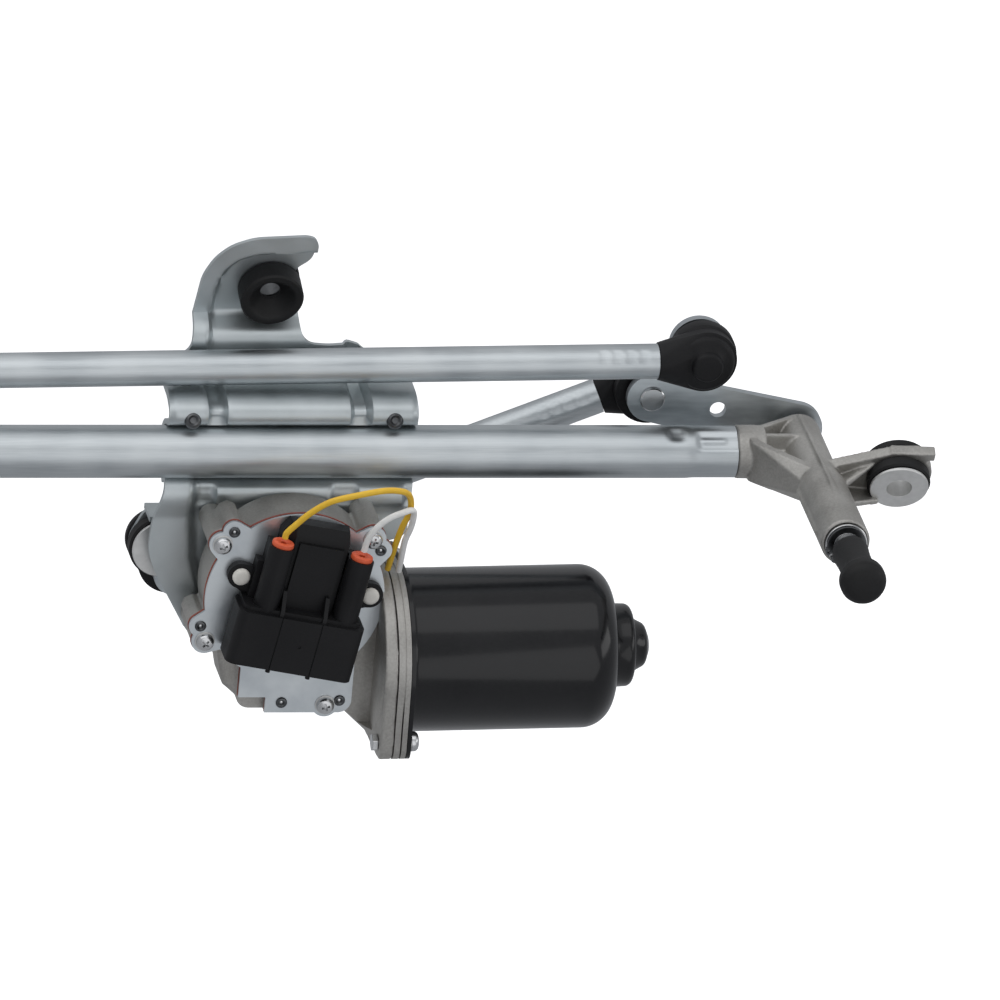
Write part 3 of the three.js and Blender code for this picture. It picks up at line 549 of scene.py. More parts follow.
TUBE_START = 22  # a link tube starts this far from its ball


def link_tube(name, body, a, b, out):
    length = (b - a).length - 2 * TUBE_START
    heading = math.atan2(b.y - a.y, b.x - a.x)
    place = Matrix.Translation(a) @ spin(heading, "Z") @ shift(TUBE_START, 0)
    dents = []
    for end, way in ((length, -1), (0, 1)):
        for k in range(4):
            for side in (out, out + math.pi):
                dents.append((end + way * (7 + 6.2 * k), side, 1.0, 2.2, 0.3, 1.7))
    dented_tube(name + "_drawn", body, name, length, 8, 1.2, place, dents, 0.9)


# ---- moulded ball sockets ----
def arc(centre, radius, start, end, count):
    """Points [r, z] on a circle, angles in degrees from the radial direction."""
    return [(centre[0] + radius * math.cos(math.radians(start + (end - start) * i / count)),
            centre[1] + radius * math.sin(math.radians(start + (end - start) * i / count)))
            for i in range(count + 1)]


def socket(name, body, base, place):
    """A socket round a ball at the origin, open towards +Z, with its neck along +X."""
    dome = [(0, -9.5), (5.6, -9.5), *arc((5.6, -8.3), 1.2, -90, -20, 4), (7.3, -6.9), (8.4, -6.1),
            (10.6, -5.4), *arc((10.4, -2.6), 2.8, -85, -20, 5), (14.4, base - 7.4), (14.7, base - 6.7),
            (15.3, base - 6.2), (15.5, base - 5.6), *arc((14.9, base - 0.6), 0.6, 0, 90, 4), (0, base)]
    pocket = [(0, base + 2), (10, base + 2), (10, base - 0.2), (9.4, base - 1.6), (9.2, 6.4),
            *arc((0, 0), 7.5, 40, -90, 14)]
    shape = join(
        revolve(dome, 72),
        # the head narrows in a wide taper to the neck
        hull([(x, y, z) for x, y in circle(14.6, 40) for z in (-1.6, base - 7.2)]
            + [(x, y, z) for y, z in circle(8.6, 40) for x in (TUBE_START - 4, TUBE_START - 0.3)]),
        rod((10, 0, 0), (TUBE_START + 10, 0, 0), 6.5))
    shape = cut(shape, revolve(pocket, 48))
    return show(moved(shape, place), name + "_moulded", body, "black_plastic", [name],
            bevel=0.45, segments=2, sharp=34)


def boot(name, body, base, place):
    """The pleated rubber seal in a socket's mouth, round the stud's neck."""
    profile = [(4.15, base + 0.6), (5.2, base + 0.9), (6.4, base - 0.4), (8.2, base + 0.2),
            (9.6, base - 0.5), (9.6, base - 1.3), (8, base - 0.9), (6.3, base - 1.5), (5, base - 0.6),
            (4.15, base - 0.9), (4.15, base + 0.6)]
    show(moved(revolve(profile, 48), place), name + "_boot", body, "black_rubber")


def link(name, body, a, b, open_way, ends):
    """Both sockets and the tube of a link whose balls are at a and b."""
    heading = math.atan2(b.y - a.y, b.x - a.x)
    base_place = Matrix.Translation(a) @ spin(heading, "Z")
    length = (b - a).length
    flip = spin(math.pi, "X") if open_way < 0 else Matrix.Identity(4)
    far = base_place @ shift(length, 0) @ spin(math.pi, "Z")
    link_tube(name + "_tube", body, a, b, facing(VIEW_BACK.y, VIEW_BACK.z) - 0.25)
    for (end, base), place in zip(ends, (base_place, far)):
        socket(f"{name}_{end}_socket", body, base, place @ flip)
        boot(f"{name}_{end}", body, base, place @ flip)


# ---- pivots ----
LEVER_LOW, LEVER_HIGH = (corner.z for corner in span("right_lever"))
CIRCLIP_TURN = math.radians(218)  # which way its gap and lugs point


def lever(name, body, pivot, balls, spare=None):
    hub, cross = (pivot.x, pivot.y, 12.5), (balls[0].x - 0.5, balls[0].y + 1.5, 13.2)
    if spare:
        shape = join(band([hub, (balls[1].x, balls[1].y, 11.5)], LEVER_LOW, LEVER_HIGH),
                band([cross, (pivot.x - 53, pivot.y + 17, 12.5)], LEVER_LOW, LEVER_HIGH))
    else:
        shape = band([hub, cross], LEVER_LOW, LEVER_HIGH)
    holes = [rod((b.x, b.y, LEVER_LOW - 1), (b.x, b.y, LEVER_HIGH + 1), 4.3) for b in balls]
    holes.append(rod((pivot.x, pivot.y, LEVER_LOW - 1), (pivot.x, pivot.y, LEVER_HIGH + 1), 6.3))
    if spare:
        holes.append(rod((spare[0], spare[1], LEVER_LOW - 1), (spare[0], spare[1], LEVER_HIGH + 1), 3.7))
    show(cut(shape, *holes), name + "_stamped", body, "zinc_sheet", [name], bevel=0.6, segments=3)


def stud(name, body, at, reach, way):
    """A ball stud riveted through the lever. The ball is `reach` from the lever's middle."""
    half = (LEVER_HIGH - LEVER_LOW) / 2 + 0.3
    ball = arc((0, reach), 7, -55.15, 90, 22)
    profile = [(0, -half - 1.5), (5.2, -half - 1.5), (5.7, -half - 1.1), (5.8, -half), (4, -half),
            (4, half), (6.3, half), (6.5, half + 0.3), (6.5, half + 1.9), (6.2, half + 2.2),
            (4.4, half + 2.4), (4, half + 2.8), *ball[:-1], (0, reach + 7)]
    place = placed((at.x, at.y, (LEVER_LOW + LEVER_HIGH) / 2), Z_AXIS * way)
    show(moved(revolve(profile, 48), place), name + "_turned", body, "bright_steel", [name])


def pivot_parts(side, at):
    body = side + "_pivot"
    x, y = at.x, at.y
    shaft = [(0, -31), (8.4, -31), (9, -30.5), (9, -28.3), (6, -28.3), (6, 101), (5.2, 103), (4.4, 110),
            (4.4, 124), (0, 124)]
    groove = revolve([(5.5, 99.9), (7, 99.9), (7, 101.3), (5.5, 101.3), (5.5, 99.9)], 48, (x, y, 0))
    show(cut(revolve(shaft, 64, (x, y, 0)), groove), side + "_pivot_shaft_ground", body, "bright_steel",
         [side + "_pivot_shaft"])
    cap = [(0, 144.9), (5.0, 144.8), (7.6, 144.2), (9.3, 143), *arc((6.9, 139.6), 3.6, 40, 0, 4),
           *arc((8.7, 136.6), 1.8, 0, -70, 4), (8.4, 133.4), (8.0, 131.6), (7.7, 128), (7.7, 118),
           (8.1, 112), (8.3, 110), (8.2, 108.2), (8.0, 108), (6.4, 108), (6.4, 126), (0, 126)]
    show(revolve(cap, 64, (x, y, 0)), side + "_cap_moulded", body, "black_rubber", [side + "_cap"])
    washer = [(6.3, 98.3), (9.4, 98.3), (9.6, 98.5), (9.6, 99.4), (9.4, 99.6), (6.3, 99.6), (6.3, 98.3)]
    show(revolve(washer, 64, (x, y, 0)), side + "_washer_ground", body, "bright_steel",
         [side + "_washer"])
    ring = join(
        revolve([(6.3, 100), (8.9, 100), (8.9, 101.2), (6.3, 101.2), (6.3, 100)], 64),
        *[rod((8.0, way * 2.3, 100), (8.0, way * 2.3, 101.2), 1.9) for way in (-1, 1)])
    ring = cut(ring, block(4, 14, -0.9, 0.9, 99, 102),
            *[rod((8.3, way * 2.4, 99), (8.3, way * 2.4, 102), 0.8) for way in (-1, 1)])
    show(moved(ring, shift(x, y) @ spin(CIRCLIP_TURN, "Z")), side + "_circlip_pressed", body,
         "dark_steel_and_shade", [side + "_circlip"], bevel=0.2)


# ---- pivot housings: castings with the pivot at the origin and the tube on the -X side ----
def hull(points):
    bm = bmesh.new()
    for p in points:
        bm.verts.new(Vector(p) * MM)
    bmesh.ops.convex_hull(bm, input=bm.verts)
    mesh = bpy.data.meshes.new("part")
    bm.to_mesh(mesh)
    bm.free()
    made = bpy.data.objects.new("part", mesh)
    bpy.context.scene.collection.objects.link(made)
    return outward(made)


def wall(a, b, low, high, thick=2.4):
    """A wall from a to b in X and Z, between two heights in Y, with a thickness across its line."""
    a, b = Vector(a), Vector(b)
    side = Vector((b[1] - a[1], a[0] - b[0])).normalized() * thick / 2
    points = [(p[0] + s * side[0], y, p[1] + s * side[1])
            for p in (a, b) for s in (-1, 1) for y in (low, high)]
    return hull(points)


EAR_FACE, EAR_LEAN = Vector((35.7, 0, 40)), Vector((-0.047, -0.43, 0.9)).normalized()
EAR_FRONT, EAR_BACK = 7.6, 12.8


def pivot_housing(tube_end, tube_y):
    face = tube_end + 0.3
    ear = moved(join(band([(0, 0, 15.5), (-28, -3, 8)], -EAR_BACK, -EAR_FRONT),
            block(-5, 15.2, 10.6, 15.4, -EAR_BACK, -EAR_FRONT)), placed(EAR_FACE, EAR_LEAN))
    parts = [
        revolve([(0, -20), (9.2, -20), (10.2, -19), (10, -12), (10, 34), (10.3, 38), (11.15, 44),
            (11.15, 97.2), (10.6, 98), (0, 98)], 64),
        rod((tube_end - 26, tube_y, 0), (face + 1, tube_y, 0), 10),
        revolve([(0, 0), (11.6, 0), (12.1, 0.6), (12.2, 8), (11.8, 13), (0, 13)], 48, (face, tube_y, 0),
            X_AXIS),
        wall((face + 6, -2), (-2, -18.5), tube_y * 0.5 - 9.5, tube_y * 0.5 + 9.8, 2.6),
        wall((face + 6, 2), (-2, 2), tube_y * 0.5 - 9, tube_y * 0.5 + 9.6, 2.4),
        hull([(face + 5, tube_y + s * 10, z) for s in (-1, 1) for z in (4, 10.5)]
            + [(-2, s * 8.8, z) for s in (-1, 1) for z in (35, 41)]
            + [(-8.8, s * 3, 40) for s in (-1, 1)]),
        hull([(face + 4, tube_y + s * 1.7, z) for s in (-1, 1) for z in (-9, 9)]
            + [(-2, s * 1.7, z) for s in (-1, 1) for z in (-18, 38)]),
        # parting ridges
        hull([(s * 1.0, y, z) for s in (-1, 1)
            for y, z in ((8, -19), (11, -17), (12.2, 40), (12.3, 56), (10.5, 88), (8, 88))]),
        hull([(x, s * 1.0, z) for s in (-1, 1)
            for x, z in ((-9, 38), (-12.5, 43), (-12.3, 86), (-10.5, 92), (-9, 92))]),
        # the ear's arm: an upper and a lower flange and the plate between them
        hull([(6.5, -1.6, 17), (6.5, 1.4, 17), (6.5, -1.6, 43), (6.5, 1.4, 43), (30, 12.6, 26.4),
            (30, 15.6, 28.2), (30, 10.6, 31.5), (30, 13.6, 34.4)]),
        hull([(6.5, -6.8, 28), (6.5, -4, 28), (6.5, -6.8, 47), (6.5, -4, 47), (27, -8.8, 20),
            (27, -6.2, 21), (27, -8.8, 38), (27, -6.2, 38)]),
        ear,
        moved(revolve([(0, -EAR_BACK - 0.2), (13, -EAR_BACK - 0.2), (13, -EAR_FRONT + 0.2),
            (0, -EAR_FRONT + 0.2)], 48), placed(EAR_FACE, EAR_LEAN)),
    ]
    return join(*parts)


def pivot_housings():
    for side, at in (("right", RIGHT), ("left", LEFT)):
        tube_low, tube_high = span("frame_tube")
        reach = tube_high.x - at.x if side == "right" else at.x - tube_low.x
        shape = pivot_housing(reach, -at.y)
        shape = cast(shape, 0.6, 3)
        shape = cut(
            shape, rod((0, 0, -21), (0, 0, 99), 6.3),
            revolve([(0, 95.6), (9.9, 95.6), (10.1, 99), (0, 99)], 48),
            moved(rod((0, 0, -EAR_BACK - 2), (0, 0, -EAR_FRONT + 2), 9.9), placed(EAR_FACE, EAR_LEAN)))
        place = shift(at.x, at.y)
        if side == "left":
            place = place @ Matrix.Diagonal((-1, 1, 1, 1))
        show(moved(shape, place), side + "_pivot_housing_cast", "frame", "cast_alloy",
             [side + "_pivot_housing"], sharp=52)


# ---- rubber mounts ----
def rubber_mount(name, at, axis, front, back, recess=False):
    """A grooved grommet on a flanged sleeve, its washer in front, or behind where the front is recessed."""
    top = 0.0 if recess else -1.9
    end = -back - 4.4
    profile = [(6.8, top - 3), (7.6, top - 2.4), (10.2, top - 0.3), (10.8, top), (13.6, top),
            (14.4, top - 0.8),
            (14.4, 1 - front), (13.8, 0.3 - front), (9.6, 0.3 - front), (9.6, -back - 0.3),
            (13.8, -back - 0.3),
            (14.4, -back - 1), (14.4, end + 0.7), (13.8, end), (6.8, end), (6.8, top - 3)]
    if recess:
        profile = [(6.8, top - 10), (4.6, top - 9), (4.6, top - 7), (9.4, top - 1.8), (10.4, top - 0.4),
                (11.1, top),
                *profile[4:-1], (6.8, top - 10)]
    place = placed(at, axis)
    show(moved(revolve(profile, 72), place), name + "_grommet_moulded", "frame", "black_rubber",
         [name + "_grommet"])
    washer = (end - 1.9, end - 0.3) if recess else (-1.6, 0.0)
    start = top - 11 if recess else -0.1
    sleeve = join(
        rod((0, 0, min(end, washer[0])), (0, 0, start), 6.5, 0, 64),
        revolve([(0, washer[0]), (13, washer[0]), (13.3, washer[0] + 0.3), (13.3, washer[1] - 0.3),
            (13, washer[1]), (0, washer[1])], 72))
    sleeve = cut(sleeve, rod((0, 0, end - 5), (0, 0, 2), 5.75, 0, 64))
    # the recessed sleeve gets the dark finish as painted shade deep in its recess; the open sleeves get the bright
    # washer finish
    show(moved(sleeve, place), name + "_sleeve_pressed", "frame",
         "dark_steel_and_shade" if recess else "bright_washer", [name + "_sleeve"], bevel=0.25)


# ---- stamped bracket ----
SHEET = 2.5
UPPER_FACE, UPPER_AXIS = Vector((-9.2, 64.2, -22.5)), Vector((0, -0.2745, 0.9616))
LOWER_FACE = Vector((-54.6, -49.7, -2))
CHANNEL = [(14 * math.cos(math.pi * (1 + i / 16)), 14 * math.sin(math.pi * (1 + i / 16)))
        for i in range(17)]
PROFILE = [
    (-104, 2.25), (-26.5, 2.25), (-23, 4.5), (-16, 4.5), *CHANNEL, (15.5, 3.5), (20.5, 4), (23.8, 0.5),
    (25.2, -6), (25.6, -22), (30, -26.5), (45, -27), (51.5, -38.9), (110, -22.2),
]
LOBE = [
    (-57, 26), (-51, 34), (-45, 41), (-43.5, 52), (-41.5, 75), (-37, 85), (-30, 92), (-20, 96),
    (6, 97.5), (9.5, 95), (9.5, 84), (7, 80), (1.5, 77), (2, 56), (6.5, 54), (5.5, 48), (9, 41.5),
    (20, 40.5), (27, 41.5), (40, 37), (57, 30),
]
FOOT = [
    (57, -12), (56, -40), (38, -46), (24, -56), (15, -68), (14, -99), (-26, -99), (-41, -88), (-59, -56),
    (-62.5, -46), (-62, -34), (-57, -14),
]
NOTCHES = ((-39.5, -30.3), (25.7, 35.4))
PADS = ((-35, 21), (30, 54))
ARM_EDGE = [(-43.4, -8), (-44, -26), (-42, -50), (-37.5, -64), (-41, -84)]


def resampled(line, step):
    """Points at an even spacing along a line of points."""
    line = [Vector(p) for p in line]
    points, carry = [line[0]], 0.0
    for a, b in zip(line, line[1:]):
        length = (b - a).length
        at = step - carry
        while at <= length:
            points.append(a.lerp(b, at / length))
            at += step
        carry = length - (at - step)
    return [*points, line[-1]]


def rounded(line, reach):
    """The same line with each point moved to the mean of those around it."""
    out = []
    for i in range(len(line)):
        r = min(reach, i, len(line) - 1 - i)
        near = line[i - r:i + r + 1]
        out.append(sum(near, Vector((0, 0))) / len(near))
    return out


def round_corners(outline, reach=3, step=1.2):
    closed = [*outline, outline[0]]
    line = resampled(closed, step)[:-1]
    count = len(line)
    return [sum((line[(i + k) % count] for k in range(-reach, reach + 1)),
            Vector((0, 0))) / (2 * reach + 1) for i in range(count)]


def from_line(x, y, line):
    p = Vector((x, y))
    best = 1e9
    for a, b in zip(line, line[1:]):
        a, b = Vector(a), Vector(b)
        t = max(0.0, min(1.0, (p - a).dot(b - a) / (b - a).length_squared))
        best = min(best, (p - a.lerp(b, t)).length)
    return best


def between(value, low, high, soft):
    """1 inside a range, falling softly to 0 outside it."""
    return ease((value - low + soft) / soft) * ease((high - value + soft) / soft)


def pressing(x, y, z):
    """How far the sheet is pressed out at a place on it."""
    out = 0.0
    if y > 30:
        edge = from_line(x, y, [*LOBE[2:9], (40, 97.5)])
        out += 5.6 * (1 - ease((edge - 7) / 3.2)) * ease((y - 32) / 12)
    if y > 14.5 and (y < 30 or x > 12):
        for low, high in NOTCHES:
            out -= 4.2 * between(x, low + 2.2, high - 2.2, 2.6) * between(y, 15.5, 48, 2.2)
        ends = min(abs(x - edge) for edge in (-57, 57))
        out -= 1.2 * (1 - ease(ends / 3)) * between(y, 17, 24, 2)
    if y < -14 and z > 0:
        pads = max(between(x, low + 2.5, high - 2.5, 2.5) for low, high in PADS)
        out += (3.0 * pads - 1.6 * ease((x + 45) / 5)) * between(y, -22.5, -17.5, 2.5)
        arm = 0.0
        for (x0, y0), (x1, y1) in zip(ARM_EDGE, ARM_EDGE[1:]):
            if y1 <= y <= y0:
                arm = x0 + (x1 - x0) * (y - y0) / (y1 - y0)
        if arm:
            out += 3.2 * ease((arm + 2.5 - x) / 5) * ease((-12 - y) / 4)
    return out


def motor_bracket():
    line = rounded(resampled(PROFILE, 1.2), 3)
    normals = []
    for i in range(len(line)):
        along = (line[min(i + 1, len(line) - 1)] - line[max(i - 1, 0)]).normalized()
        normals.append(Vector((-along.y, along.x)))
    xs = [-68 + 1.3 * i for i in range(103)]
    verts, faces = [], []
    for side in (-1, 1):
        for x in xs:
            for p, n in zip(line, normals):
                reach = pressing(x, p.x, p.y) + side * SHEET / 2
                verts.append((x, p.x + n.x * reach, p.y + n.y * reach))
    deep, wide = len(line), len(xs)
    for side in (0, 1):
        for i in range(wide - 1):
            for k in range(deep - 1):
                a = side * wide * deep + i * deep + k
                faces.append((a, a + 1, a + deep + 1, a + deep))
    rim = [i * deep for i in range(wide)] + [(wide - 1) * deep + k for k in range(1, deep)]
    rim += [i * deep + deep - 1 for i in range(wide - 2, -1, -1)] + [k for k in range(deep - 2, 0, -1)]
    for a, b in zip(rim, rim[1:] + rim[:1]):
        faces.append((a, b, b + wide * deep, a + wide * deep))
    sheet = outward(make("sheet", verts, faces))
    silhouette = plate([tuple(p) for p in round_corners(LOBE + FOOT)], -62, 32)
    sheet = combine(sheet, [silhouette], "INTERSECT")
    tab = join(
        band([(-54.6, -49.7, 13.5), (-54, -42, 10.6)], -13.2, -10.7),
        block(-62, -45.5, -34, -31.5, -13.2, 2))
    sheet = join(sheet, tab)
    sheet = cut(
        sheet, moved(rod((0, 0, -19), (0, 0, -5), 9.9), placed(UPPER_FACE, UPPER_AXIS)),
        rod((LOWER_FACE.x, LOWER_FACE.y, -21), (LOWER_FACE.x, LOWER_FACE.y, -8), 9.9),
        rod((GEAR.x, GEAR.y, -3), (GEAR.x, GEAR.y, 9), 17),
        *[rod((x, y, -3), (x, y, 9), 3.3) for x, y in MOTOR_SCREWS])
    show(sheet, "motor_bracket_stamped", "frame", "zinc_bracket", ["motor_bracket"], sharp=46)
    # the two plug welds that hold the saddle to the tube
    for i, x in enumerate((-46.5, 46)):
        weld = revolve([(0, 0.5), (1.4, 0.3), (2.4, 1.2), (3.3, 0.7), (3.9, -0.4), (3.9, -1.6),
                (0, -1.6)], 32)
        weld = moved(weld, placed((x, 17.6, 5.0), Vector((0, 0.4, 0.92))))
        show(weld, f"plug_weld_{i + 1}", "frame", "dark_steel_and_shade")


# ---- gear housing and its cover ----
COVER_SCREWS = [(-35, -28.6), (-39.5, -76.4), (33.7, -26), (18, -108)]
COVER_RIVETS = [(-30, -22.5), (-42, -69), (37.6, -31.6), (-2, -107), (24.5, -106)]
MOTOR_SCREWS = [(-29, -34), (-27, -77), (30, -38)]
COVER_FOOT = [(-16, -106, 6), (24, -106, 6), (24, -84, 6), (-16, -84, 6)]
CAST_FLANGE, PLATE_FLANGE, CAN_FLANGE = (40, 46), (46.3, 52), (52.3, 54.1)
FLANGE_RADIUS = 40.8
CAN_SCREWS = [(44 * math.cos(math.radians(a)), 44 * math.sin(math.radians(a))) for a in (135, 315)]


def to_motor():
    """From the motor's own frame, whose X is its shaft, into the assembly's."""
    yaw = math.atan2(MOTOR_AXIS.y, MOTOR_AXIS.x)
    return Matrix.Translation(MOTOR) @ spin(yaw, "Z")


def across(shape):
    """Turns a shape drawn along +Z to lie along +X, with its X and Y as Y and Z."""
    return moved(shape, Matrix(((0, 0, 1, 0), (1, 0, 0, 0), (0, 1, 0, 0), (0, 0, 0, 1))))


def flange(x0, x1):
    """A disc across the shaft with an ear for each can screw."""
    disc = across(band([(0, 0, FLANGE_RADIUS), *[(y, z, 7.8) for y, z in CAN_SCREWS]], x0, x1))
    return cut(disc, *[rod((x0 - 1, y, z), (x1 + 1, y, z), 2.4) for y, z in CAN_SCREWS])


def cover_shape(low, high, grow=0.0):
    lugs = []
    for x, y in COVER_SCREWS:
        lugs.append(band([(x, y, 6 + grow), (x * 0.7, GEAR.y + (y - GEAR.y) * 0.7, 9)], low, high))
    for x, y in COVER_RIVETS[:3]:
        lugs.append(band([(x, y, 5.2 + grow), (x * 0.7, GEAR.y + (y - GEAR.y) * 0.7, 9)], low, high))
    disk = rod((GEAR.x, GEAR.y, low), (GEAR.x, GEAR.y, high), 41 + grow, 0, 128)
    foot = band([(x, y, r + grow) for x, y, r in COVER_FOOT], low, high)
    return cut(join(disk, foot, *lugs), block(-30, -9.5, -120, -104.4, low - 1, high + 1))


def gear_housing():
    cx, cy = GEAR.x, GEAR.y
    body = join(
        revolve([(0, 9), (36, 9), (38.6, 9.6), (40, 11.5), (40, 35), (0, 35)], 96, (cx, cy, 0)),
        revolve([(0, -16), (9.8, -16), (11, -14.8), (11, 4), (12.5, 8), (16, 10), (0, 10)], 64,
            (cx, cy, 0)), band(COVER_FOOT, 9, 35),
        hull([(x, y, z) for x, y in ((-33, -78), (-31.7, -88), (-29, -100), (-17, -110.5), (0, -110.5),
            (0, -78)) for z in (12, 33.4)]),
        *[rod((x, y, 3.8), (x, y, 10), 6.5) for x, y in MOTOR_SCREWS],
        *[rod((x, y, 5.5 if i < 3 else 14), (x, y, 35), 5.8) for i, (x, y) in enumerate(COVER_SCREWS)],
        *[hull([(x + s * 5.2 * math.cos(a), y + s * 5.2 * math.sin(a), z)
            for a in (0.0, 0.8, 1.57, 2.36) for s in (-1, 1) for z in (14, 35)]
            + [(x * 0.8, cy + (y - cy) * 0.8, 12), (x * 0.8, cy + (y - cy) * 0.8, 35)])
          for x, y in COVER_SCREWS[:3] + COVER_RIVETS[:3]],
    )
    neck = across(revolve(
        [(0, 0), (11.5, 0), (11.5, 10), (12.2, 13), (17, 19), (24, 25), (33, 34.5), (38.8, 40.5),
         (38.8, 41), (0, 41)], 96))
    side_ribs = [moved(hull([(10, s, 8) for s in (-1.3, 1.3)] + [(39, s, 20) for s in (-1.3, 1.3)]
            + [(24, s, 26.4) for s in (-1.3, 1.3)] + [(39, s, 39.8) for s in (-1.3, 1.3)]),
            spin(math.radians(a), "X")) for a in (100, 190, 280)]
    motor_end = join(neck, flange(*CAST_FLANGE), *side_ribs)
    body = join(body, moved(motor_end, to_motor()))
    body = cast(body, 0.8, 4)
    pocket = rod((cx, cy, 12), (cx, cy, 36), 35.5, 0, 96)
    body = cut(
        body, block(-80, 39.4, -118, -8, 34.95, 60), block(-30, -9.5, -120, -104.4, 33, 60), pocket,
        rod((cx, cy, -17), (cx, cy, 13), 5.3), moved(rod((-19, 0, 0), (47, 0, 0), 7.5), to_motor()),
        moved(rod((42, 0, 0), (47, 0, 0), 30, 0, 72), to_motor()),
        moved(block(46, 50, -60, 60, -60, 60), to_motor()),
        *[moved(rod((39, y, z), (47, y, z), 2.4), to_motor()) for y, z in CAN_SCREWS],
        *[rod((x, y, 24), (x, y, 36), 2.3) for x, y in COVER_SCREWS],
        rod((-17.5, -104, 24), (-17.5, -104, 34), 2.6),
    )
    show(body, "gear_housing_cast", "frame", "cast_alloy", ["gear_housing"], sharp=50)


def gear_cover():
    low, high = span("gear_cover")[0].z, span("gear_cover")[1].z
    cover = cut(cover_shape(low, high),
            *[rod((x, y, low - 1), (x, y, high + 1), 2.3) for x, y in COVER_SCREWS],
            *[rod((x, y, low - 1), (x, y, high + 1), 1.6) for x, y in COVER_RIVETS],
            band([(-24, -48, 1.0), (-21, -46.4, 1.0)], high - 0.5, high + 1))
    show(cover, "gear_cover_stamped", "frame", "zinc_cover", ["gear_cover"], bevel=0.35, segments=3)
    low, high = span("housing_gasket")[0].z, span("housing_gasket")[1].z
    gasket = cut(cover_shape(low, high, 0.25), rod((GEAR.x, GEAR.y, low - 1), (GEAR.x, GEAR.y, high + 1),
            35.5, 0, 96),
            *[rod((x, y, low - 1), (x, y, high + 1), 2.5) for x, y in COVER_SCREWS])
    show(gasket, "housing_gasket_cut", "frame", "gasket_red", ["housing_gasket"])


def phillips(radius, height, hollow=2.2):
    """A pan head from z = 0 up, with a cross recess."""
    head = revolve([(0, 0), (radius, 0), (radius, height * 0.35),
            *arc((radius - height * 0.65, height * 0.35),
            height * 0.65, 0, 78, 7), (0, height * 1.03)], 48)
    cross = []
    for a in (0.35, 0.35 + math.pi / 2):
        half = hollow
        wedge = hull([(s * half, t * 0.55, height + 0.6) for s in (-1, 1) for t in (-1, 1)]
                + [(s * half * 0.5, t * 0.34, height - 1.5) for s in (-1, 1) for t in (-1, 1)])
        cross.append(moved(wedge, spin(a, "Z")))
    return cut(head, *cross)


def cover_screws():
    top = span("gear_cover")[1].z
    for i, (x, y) in enumerate(COVER_SCREWS):
        screw = phillips(4, 2.9)
        screw = join(moved(screw, shift(x, y, top + 0.6) @ spin(0.5 * i, "Z")),
                rod((x, y, 25), (x, y, top + 1), 2))
        show(screw, f"cover_screw_{i + 1}_rolled", "frame", "bright_steel", [f"cover_screw_{i + 1}"],
             sharp=30)
        collar = revolve([(2.1, top + 0.02), (4.6, top + 0.02), (4.6, top + 0.5), (2.1, top + 0.6),
                (2.1, top + 0.02)], 48, (x, y, 0))
        show(collar, f"cover_washer_{i + 1}", "frame", "bright_washer", bevel=0.1)
    for i, (x, y) in enumerate(COVER_RIVETS):
        ring = revolve([(1.0, top - 0.8), (1.4, top - 0.8), (1.5, top + 0.02), (2.4, top + 0.02),
                (2.6, top + 0.35), (2.3, top + 0.8), (1.6, top + 0.95), (1.15, top + 0.7), (1.0, top + 0.2),
                (1.0, top - 0.8)], 40, (x, y, 0))
        show(ring, f"cover_rivet_{i + 1}", "frame", "dark_steel_and_shade")
        core = revolve([(0, top - 0.9), (0.95, top - 0.9), (0.95, top - 0.1), (0.5, top + 0.15),
                (0, top + 0.2)], 24, (x, y, 0))
        show(core, f"cover_rivet_core_{i + 1}", "frame", "bright_steel")
    for i, (x, y) in enumerate(MOTOR_SCREWS):
        head = cut(hexagon(5, -3.2, 0), rod((0, 0, -4), (0, 0, -2), 1.8, 0, 6))
        head = join(head, revolve([(0, -0.3), (6.2, -0.3), (6.2, 0.9), (0, 0.9)], 40),
                rod((0, 0, 0), (0, 0, 8), 2.9))
        show(moved(head, shift(x, y)), f"motor_screw_{i + 1}", "frame", "bright_steel", bevel=0.3)


